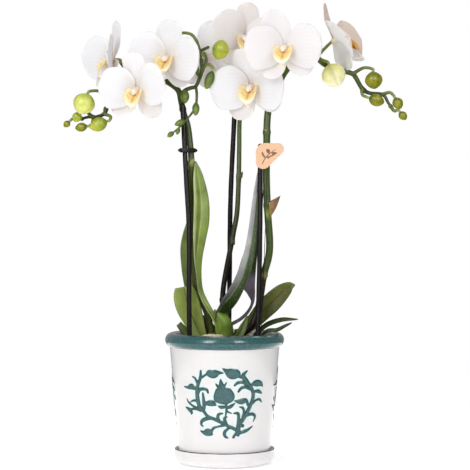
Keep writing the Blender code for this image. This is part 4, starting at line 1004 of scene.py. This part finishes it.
SMALL_BUDS = (
    ((-36.5, -3.5, 345), (-36.5, -9, 332), 4.2),
    ((-26, -11.5, 333), (-26.5, -16, 320.5), 3.4),
    ((-35.5, -18.3, 316), (-45.5, -20, 312), 3.0),
    ((-41.5, -20.4, 309.7), (-43.5, -21.5, 303), 2.1),
    ((-46.2, -21.5, 305.6), (-52, -23, 301), 2.4),
    ((-24, -5.5, 356.5), (-26.5, -7, 369.5), 2.3),
    ((-11, -8, 362), (-17, -10, 345), 4.3),
)
SMALL_GREEN = ((0, "#4F6326"), (0.5, "#5F752C"), (1, "#7F8D44"))

# Stalks of flowers and buds: the stem, the points from its junction on, and what it carries
PEDICELS = (
    ("left", ((-94, 14, 353), (-92, 21, 363), (-97, 22.5, 371)), 1),
    ("left", ((-80, 14, 357), (-83, 4, 352), (-81, -10, 347)), 2),
    ("left", ((-22.5, -4, 379), (-26.5, -1, 391), (-33, 3, 397), (-43, 6, 395)), 3),
    ("left", ((-20.8, -6, 362), (-17, 8, 372), (-19, 18, 380)), 4),
    ("left", ((-105, 12, 341), (-116, 4, 344)), "left_1"),
    ("left", ((-111.5, 5, 323), (-105.5, 3, 320.5)), "left_2"),
    ("left", ((-122, 4, 320), (-129, 4.5, 326)), "left_3"),
    ("left", ((-121, 4, 320), (-122.5, 4, 314)), "left_4"),
    ("left", ((-132, 8, 318.5), (-139, 8, 319)), "left_5"),
    ("left", ((-20.8, -6, 363), (-16, -8, 368)), "small"),
    ("middle", ((20, 24, 371), (18, 25, 384)), 5),
    ("middle", ((19.5, 16, 352), (24, 4, 351)), 7),
    ("right", ((64, -11, 369.5), (60, -26, 378)), 6),
    ("right", ((84, -12, 374), (91, -6.5, 381.5)), 8),
    ("right", ((86, -11, 373), (91, -12, 371)), "right_1"),
    ("right", ((118, -1, 359.5), (128, -1, 365)), "right_2"),
    ("right", ((126.5, 1, 347), (127, -1, 340.5)), "right_3"),
    ("right", ((145, 2, 340.5), (152, 0.5, 342.5)), "right_4"),
    ("right", ((153, 1, 330), (156.5, 0.5, 325.5)), "right_5"),
)
STALK_COLOURS = ((0, "#56642C"), (0.5, "#78853F"), (1, "#A8AC72"))
STALK_RADII, STALK_SWELLING = (1.6, 1.25), 0.5  # at the stem and the flower, and at the joint
# How far behind a flower its stalk comes onto the flower's line, if not as usual
USUAL_NECK, NECKS = -7.2, {8: -2.6}
NODE_LENGTH = 1.8
STEEP = 0.4  # how much a stem climbs from point to point where its nodes may swell


def stalk_end(carried):
    """The last two points of a stalk: one on its flower's or bud's line, then its base."""
    if carried in FLOWERS:
        ends = shape(np.array([(0, 0, NECKS.get(carried, USUAL_NECK)), (0, 0, -1.6)]), None)
        return in_place(FLOWERS[carried], ends)["points"]
    base, tip = (np.array(p, float) for p in (SMALL_BUDS[-1] if carried == "small" else BUDS[carried])[:2])
    back = (base - tip) / np.linalg.norm(base - tip)
    return np.stack([base + back * 2.5, base - back * 0.6])


def bract(route, height, way, length, spread, colours):
    """A pointed sheath that clasps the stem at a node and opens on one side of it: its radius
    about the stem grows by the spread and its wrap round the stem falls to a point."""
    at = int(np.argmin(np.abs(route[:, 2] - height)))
    ahead = unit(route[at + 1] - route[at - 1])
    out = unit(np.array(way, float) - ahead * np.dot(way, ahead))
    side = np.cross(ahead, out)
    t, s = np.linspace(0, 1, 16)[:, None, None], np.linspace(-1, 1, 11)[None, :, None]
    half = SHEATH_RADIUS * (1 - t**1.8) ** 0.9 + 0.05
    bend = SHEATH_RADIUS + spread * t**1.3
    lean = s * half / bend
    middle = route[at] + ahead * (length * t - 1.8) + bend * (out * np.cos(lean) + side * np.sin(lean))
    return blade(middle, SHEATH_THICKNESS, tone=on_grid(lengthwise(colours, 16), 16, 11))


def flap():
    """The dry sheath that stands off the right stem: a curved triangle along the stem, its free
    corner high and outwards. Each row runs from the stem towards that corner."""
    low, high, free = np.array([(41.2, -8.6, 226.5), (40.2, -9.6, 241.5), (51.4, -10.5, 247.5)])
    t, s = np.linspace(0, 1, 14)[:, None, None], np.linspace(0, 1, 9)[None, :, None]
    foot = low + (high - low) * s
    sag = np.array([0.9, 1.6, -1.2]) * np.sin(np.pi * t) * (1 - s)
    hollow = np.array([0, 1.4, 0]) * np.sin(np.pi * s) * (1 - t)
    middle = foot + (free - foot) * t + sag - hollow
    return blade(middle, SHEATH_THICKNESS, tone=on_grid(lengthwise(TAN_SHEATH, 14), 14, 9))


def stem(name):
    """A flower stem with swollen nodes, its bracts, and the stalks that leave it."""
    stations, first, last, nodes, colours = SPIKES[name]
    route = smooth_rows(stations, 8)
    radius = first + (last - first) * np.linspace(0, 1, len(route)) ** 3
    climbing = np.abs(np.gradient(route[:, 2])) > STEEP
    for height, swelling in nodes:
        radius = radius + swelling * np.exp(-(((route[:, 2] - height) / NODE_LENGTH) ** 2)) * climbing
    made = [rounded_tube(route, radius, 16, tone=shades(colours, route[:, 2])[:, None])]
    for carrier, points, carried in PEDICELS:
        if carrier != name:
            continue
        stalk = smooth_rows([*points, *stalk_end(carried)], 6)
        joint = STALK_SWELLING * np.exp(-np.arange(len(stalk)) / 1.5)
        thick = np.linspace(*STALK_RADII, len(stalk)) + joint
        made.append(rounded_tube(stalk, thick, 12, tone=lengthwise(STALK_COLOURS, len(stalk))))
    made += [bract(route, *sheath) for sheath in BRACTS[name]]
    if name == "right":
        made.append(flap())
    if name == "left":
        for points, start, end in ((SIDE_BRANCH, 2.0, 1.4), (RACEME, 1.4, 0.7)):
            row = smooth_rows(points, 7)
            made.append(rounded_tube(row, np.linspace(start, end, len(row)), 12, tone=plain("#4A5226")))
        made += [egg(base, tip, radius, SMALL_GREEN, 14, 18) for base, tip, radius in SMALL_BUDS]
    return joined(*made)


SHEATH_RADIUS, SHEATH_THICKNESS = 3.2, 0.5
BROWN_SHEATH = ((0, "#5E5C34"), (0.4, "#64503A"), (1, "#4E3828"))
TAN_SHEATH = ((0, "#8A7A42"), (0.3, "#8C6A4A"), (1, "#5A4230"))
DARK_SHEATH = ((0, "#2C2A14"), (1, "#5C5A34"))
PALE_SHEATH = ((0, "#66743C"), (0.6, "#9AA06C"), (1, "#7E6C4A"))
# The bracts of each stem: height, the way each opens, length, spread and colours
BRACTS = {
    "left": (
        (277, (0.6, -1, 0), 6, 0.2, PALE_SHEATH), (222, (-1, -0.5, 0), 6, 0.3, BROWN_SHEATH),
        (168, (0.5, -1, 0), 6, 0.3, BROWN_SHEATH)),
    "middle": ((264, (1, -0.6, 0), 6, 0.8, BROWN_SHEATH), (205, (0.6, -1, 0), 5, 0.2, DARK_SHEATH)),
    "right": ((174, (-0.5, -1, 0), 7, 0.3, BROWN_SHEATH), (305, (-0.4, -1, 0), 5, 0.2, PALE_SHEATH)),
}


# ---- Stakes, clips and tag ----

STAKES = {
    "left": ((-27, -13, 34), (-31.5, -15, 105), (-32.5, -16, 150), (-32.5, -16, 215), (-35, -14, 262),
             (-38.5, -10, 330)),
    "middle": ((3, 21, 34), (4.5, 21, 170), (5.5, 19, 245), (9.5, 13, 330)),
    "right": ((28, -13, 34), (30.5, -12, 118), (32.5, -11, 210), (32.8, -10.2, 293)),
}
STAKE_RADIUS, COATING = 2.3, 0.05
# How far a clip's band reaches to each side, half its thickness and height, its points round
# the band and its section, and its ribs and how far they stand out
CLIP_DEPTH, CLIP_HALF_THICK, CLIP_HALF_TALL = 4.65, 0.65, 2.0
CLIP_TURNS, CLIP_SIDES = 72, 16
CLIP_RIBS, RIB_HEIGHT = 24, 0.12


def stake(name):
    """A thin coated rod with a round end, very slightly uneven as its coating is."""
    route = smooth_rows(STAKES[name], 14)
    radius = STAKE_RADIUS + COATING * np.sin(np.arange(len(route)) * 1.3)
    return rounded_tube(route, radius, 20)


def crossing(stations, height):
    """Where a line through stations crosses a height."""
    route = smooth_rows(stations, 8)
    route = route[: int(np.argmax(route[:, 2] > height + 2)) + 1]
    return np.array([np.interp(height, route[:, 2], route[:, i]) for i in range(3)])


def clip(name, height):
    """A spring clip: an oval band with rounded edges round the stake and the stem, two
    finger tabs, a ribbed back and the pin it turns on."""
    post, spike = crossing(STAKES[name], height), crossing(SPIKES[name][0], height)
    middle, gap = (post + spike) / 2, spike - post
    along = gap / np.linalg.norm(gap)
    across = np.array([-along[1], along[0], 0]) / np.hypot(along[0], along[1])
    reach = np.linalg.norm(gap) / 2 + CLIP_DEPTH
    turn = np.linspace(0, 2 * np.pi, CLIP_TURNS, endpoint=False)[:, None, None]
    section = np.linspace(0, 2 * np.pi, CLIP_SIDES, endpoint=False)[None, :, None]
    thick = CLIP_HALF_THICK * np.sign(np.cos(section)) * np.abs(np.cos(section)) ** 0.5
    tall = CLIP_HALF_TALL * np.sign(np.sin(section)) * np.abs(np.sin(section)) ** 0.5
    ribs = RIB_HEIGHT * np.sin(CLIP_RIBS * turn)
    band = middle + along * np.cos(turn) * (reach + thick + ribs)
    band = band + across * np.sin(turn) * (CLIP_DEPTH + thick) - np.array([0, 0, 1.0]) * tall
    index = np.arange(CLIP_TURNS * CLIP_SIDES).reshape(CLIP_TURNS, CLIP_SIDES)
    made = [shape(band.reshape(-1, 3), quads(np.pad(index, ((0, 1), (0, 1)), mode="wrap")))]
    for way in (-1, 1):
        t = np.linspace(0, 1, 8)[:, None]
        tab = middle + along * way * (reach + 0.3 + 1.9 * t)
        made.append(rounded_tube(tab, 1.6 - 0.3 * t[:, 0], 14))
    pin = middle + across * np.linspace(-CLIP_DEPTH - 1.0, -CLIP_DEPTH + 0.6, 4)[:, None]
    made.append(rounded_tube(pin, [1.1, 1.2, 1.2, 1.0], 14))
    return joined(*made)


# Circles of the tag's outline, as (x, z, radius) about its middle
TAG_CIRCLES = np.array([(-4.1, 2.9, 8.7), (7.4, 6.2, 5.3), (-6.2, -5.6, 6.6)])
TAG_MIDDLE = np.array([41.5, -16.2, 284.0])
FACE_RINGS = 28  # rings of points on the tag's face

# A plain sprig on the tag: strokes as (x, z, half width) about the tag's middle
SPRIG = (
    ((-7.0, -7.5, 0.4), (-4.0, -2.0, 0.45), (0.5, 2.5, 0.4), (5.0, 5.5, 0.25)),
    ((-4.0, -2.0, 0.25), (-6.5, 0.5, 1.4), (-7.0, 3.5, 0.2)),
    ((-3.0, -1.0, 0.25), (-0.5, -2.0, 1.2), (1.5, -1.5, 0.2)),
    ((-0.5, 1.5, 0.25), (-2.0, 4.5, 1.4), (-1.5, 7.5, 0.2)),
    ((1.0, 3.0, 0.25), (4.0, 2.2, 1.2), (6.5, 2.6, 0.2)),
)


def tag():
    """A card tag: the outline round three circles, with softly rounded edges. The outline's
    reach in a direction is the farthest that any of the circles reaches."""
    turn = np.linspace(0, 2 * np.pi, 120, endpoint=False)
    way = np.stack([np.cos(turn), -np.sin(turn)], -1)
    reach = (way @ TAG_CIRCLES[:, :2].T) + TAG_CIRCLES[:, 2]
    circle = TAG_CIRCLES[reach.argmax(1)]
    outline = circle[:, :2] + circle[:, 2:] * way
    middle = outline.mean(0)
    face, back = np.linspace(0.03, 0.97, FACE_RINGS), np.linspace(0.97, 0.03, 8)
    share = np.concatenate([face, [0.99, 1.0, 0.99], back])
    deep = np.concatenate([0 * face, [0.12, 0.5, 0.88], 0 * back + 1])
    flat = middle + (outline - middle)[None] * share[:, None, None]
    points = np.stack([flat[..., 0], deep[:, None] + 0 * flat[..., 0], flat[..., 1]], -1) + TAG_MIDDLE
    drawn = stroke_distance(SPRIG, flat[..., 0], flat[..., 1])
    drawn[FACE_RINGS + 2 :] = FAR
    return rings(points, depth=drawn)


# ---- The whole object ----


def build():
    """Every piece of the object, each in its finish and in the place of its CAD nodes."""
    glazed, leafy, white = glaze(), leaf_skin(), petal_skin()
    put("glazed_pot", pot(), glazed, ["pot"])
    put("glazed_saucer", saucer(), glazed, ["saucer"])
    clear = clear_plastic()
    put("nursery_pot", inner_pot(), clear, ["grow_pot"])
    bark_skin = toned("pine_bark_chips", 260.0, 0.35, 0.6, Roughness=0.9)
    put("bark_chips", bark(), bark_skin, ["bark_medium"])
    root_skin = toned("dry_root_skin", 500.0, 0.15, 0.4, Roughness=0.8)
    put("aerial_roots", roots(), root_skin, [])
    put("leaf_crown", crown(), leafy, ["crown"])
    for name in LEAVES:
        put("blade_" + name, leaf(name), leafy, ["leaf_" + name])
    rod = moulded_plastic("satin_black_coating", "#0C0A09", "#1C1715", 0.34, 60.0)
    grip = moulded_plastic("moulded_black_plastic", "#0E0D0E", "#1C1A1B", 0.5, 140.0)
    for name in STAKES:
        put("rod_" + name, stake(name), rod, ["stake_" + name])
    stem_skin = toned("green_stem_skin", 380.0, 0.18, 0.3, Roughness=0.42, Specular_IOR_Level=0.08)
    for name in SPIKES:
        put("stem_" + name, stem(name), stem_skin, ["spike_" + name])
    bud_skin = toned("closed_bud_skin", 300.0, 0.1, 0.15, Roughness=0.4, Specular_IOR_Level=0.12,
                     Subsurface_Weight=0.12, Subsurface_Scale=0.002)
    for name, bud in BUDS.items():
        put("closed_" + name, egg(*bud), bud_skin, ["bud_" + name])
    lip_skin = toned("yellow_lip_flesh", 700.0, 0.05, 0.1, Roughness=0.42, Specular_IOR_Level=0.22,
                     Subsurface_Weight=0.15, Subsurface_Scale=0.001)
    for number in FLOWERS:
        put(f"blossom_{number}_back", sepals(number), white, [f"flower_{number}_sepals"])
        put(f"blossom_{number}_wings", petals(number), white, [f"flower_{number}_petals"])
        put(f"blossom_{number}_mouth", lip(number), lip_skin, [f"flower_{number}_lip"])
    put("grip_left", clip("left", 289), grip, ["clip_left"])
    put("grip_right", clip("right", 291), grip, ["clip_right"])
    put("card_tag", tag(), printed_card(), ["tag"])


# ---- Studio ----


def softbox(name, azimuth, height, distance, size, power, aim, diffuse):
    """A rectangular softbox, at an azimuth to the right of the viewer, aimed at a point. One
    that isn't diffuse only makes glints on glossy surfaces, as a lit card does."""
    light = bpy.data.lights.new(name, "AREA")
    light.shape = "RECTANGLE"
    light.size, light.size_y = size
    light.energy = power
    made = bpy.data.objects.new(name, light)
    made.visible_diffuse = diffuse
    bpy.context.scene.collection.objects.link(made)
    turn = math.radians(azimuth)
    made.location = (distance * math.sin(turn), -distance * math.cos(turn), height)
    made.rotation_euler = (Vector(aim) - made.location).to_track_quat("-Z", "Y").to_euler()


def studio():
    """A white table in a white surround that is brighter to the left, in front and above, with
    two tall softboxes and two cards before the plant and softboxes over and behind it."""
    mesh = bpy.data.meshes.new("white_table")
    turn = np.linspace(0, 2 * np.pi, TABLE_SIDES, endpoint=False)
    around = np.stack([TABLE_RADIUS * np.cos(turn), TABLE_RADIUS * np.sin(turn), 0 * turn], -1)
    mesh.from_pydata(around.tolist(), [], [list(range(TABLE_SIDES))])
    mesh.materials.append(studio_floor())
    table = bpy.data.objects.new("white_table", mesh)
    table.location.z = -TABLE_GAP
    bpy.context.scene.collection.objects.link(table)
    world = bpy.data.worlds.new("white_surround")
    bpy.context.scene.world = world
    world.use_nodes = True
    tree = world.node_tree
    back = tree.nodes["Background"]
    seen = add(tree, "LightPath").outputs["Is Camera Ray"]
    way = add(tree, "TexCoord").outputs["Generated"]
    slope = add(tree, "VectorMath", {0: way, 1: SURROUND_SLOPE}, operation="DOT_PRODUCT").outputs["Value"]
    lit = add(tree, "Math", {0: slope, 1: SURROUND}, operation="ADD").outputs[0]
    level = add(tree, "MapRange", {"Value": seen, "To Min": lit, "To Max": 1.0}).outputs[0]
    tree.links.new(level, back.inputs["Strength"])
    back.inputs["Color"].default_value = (1.0, 1.0, 1.0, 1.0)
    for light in SOFTBOXES:
        softbox(*light)


def camera():
    """A long lens level with the middle of the stems, looking a little down."""
    data = bpy.data.cameras.new("front_view")
    data.lens, data.sensor_width = LENS, SENSOR
    data.clip_start, data.clip_end = NEAREST, FARTHEST
    made = bpy.data.objects.new("front_view", data)
    made.location = EYE
    made.rotation_euler = (Vector(AIM) - made.location).to_track_quat("-Z", "Y").to_euler()
    bpy.context.scene.collection.objects.link(made)
    bpy.context.scene.camera = made


# How bright the surround is, and how that grows along x, y and z
SURROUND = 0.5
SURROUND_SLOPE = (-0.1, -0.2, 0.06)
TABLE_RADIUS, TABLE_SIDES, TABLE_GAP = 0.5, 96, 0.0005
# The lens and its sensor in mm, the nearest and farthest that it sees, and its place and aim
LENS, SENSOR, NEAREST, FARTHEST = 157.6, 36, 0.1, 30
EYE, AIM = (0.0096, -1.9, 0.26), (0.0096, 0, 0.211)
# name, azimuth, height, distance, size, power, aim and whether it lights matt surfaces
SOFTBOXES = (
    ("softbox_left", -31, 0.75, 1.15, (0.44, 0.9), 4.5, (0, 0, 0.3), True),
    ("card_left", -31, 0.75, 1.15, (0.44, 0.9), 62.0, (0, 0, 0.3), False),
    ("softbox_right", 29, 0.75, 1.15, (0.36, 0.8), 2.0, (0, 0, 0.3), True),
    ("card_right", 29, 0.75, 1.15, (0.36, 0.8), 48.0, (0, 0, 0.3), False),
    ("top_light", 0, 2.0, 0.1, (1.4, 1.4), 3, (0, 0, 0.2), True),
    ("softbox_back", 165, 1.5, 1.2, (1.2, 0.8), 5, (0, 0, 0.35), True),
)

build()
studio()
camera()
bpy.context.scene.view_settings.view_transform = "Standard"
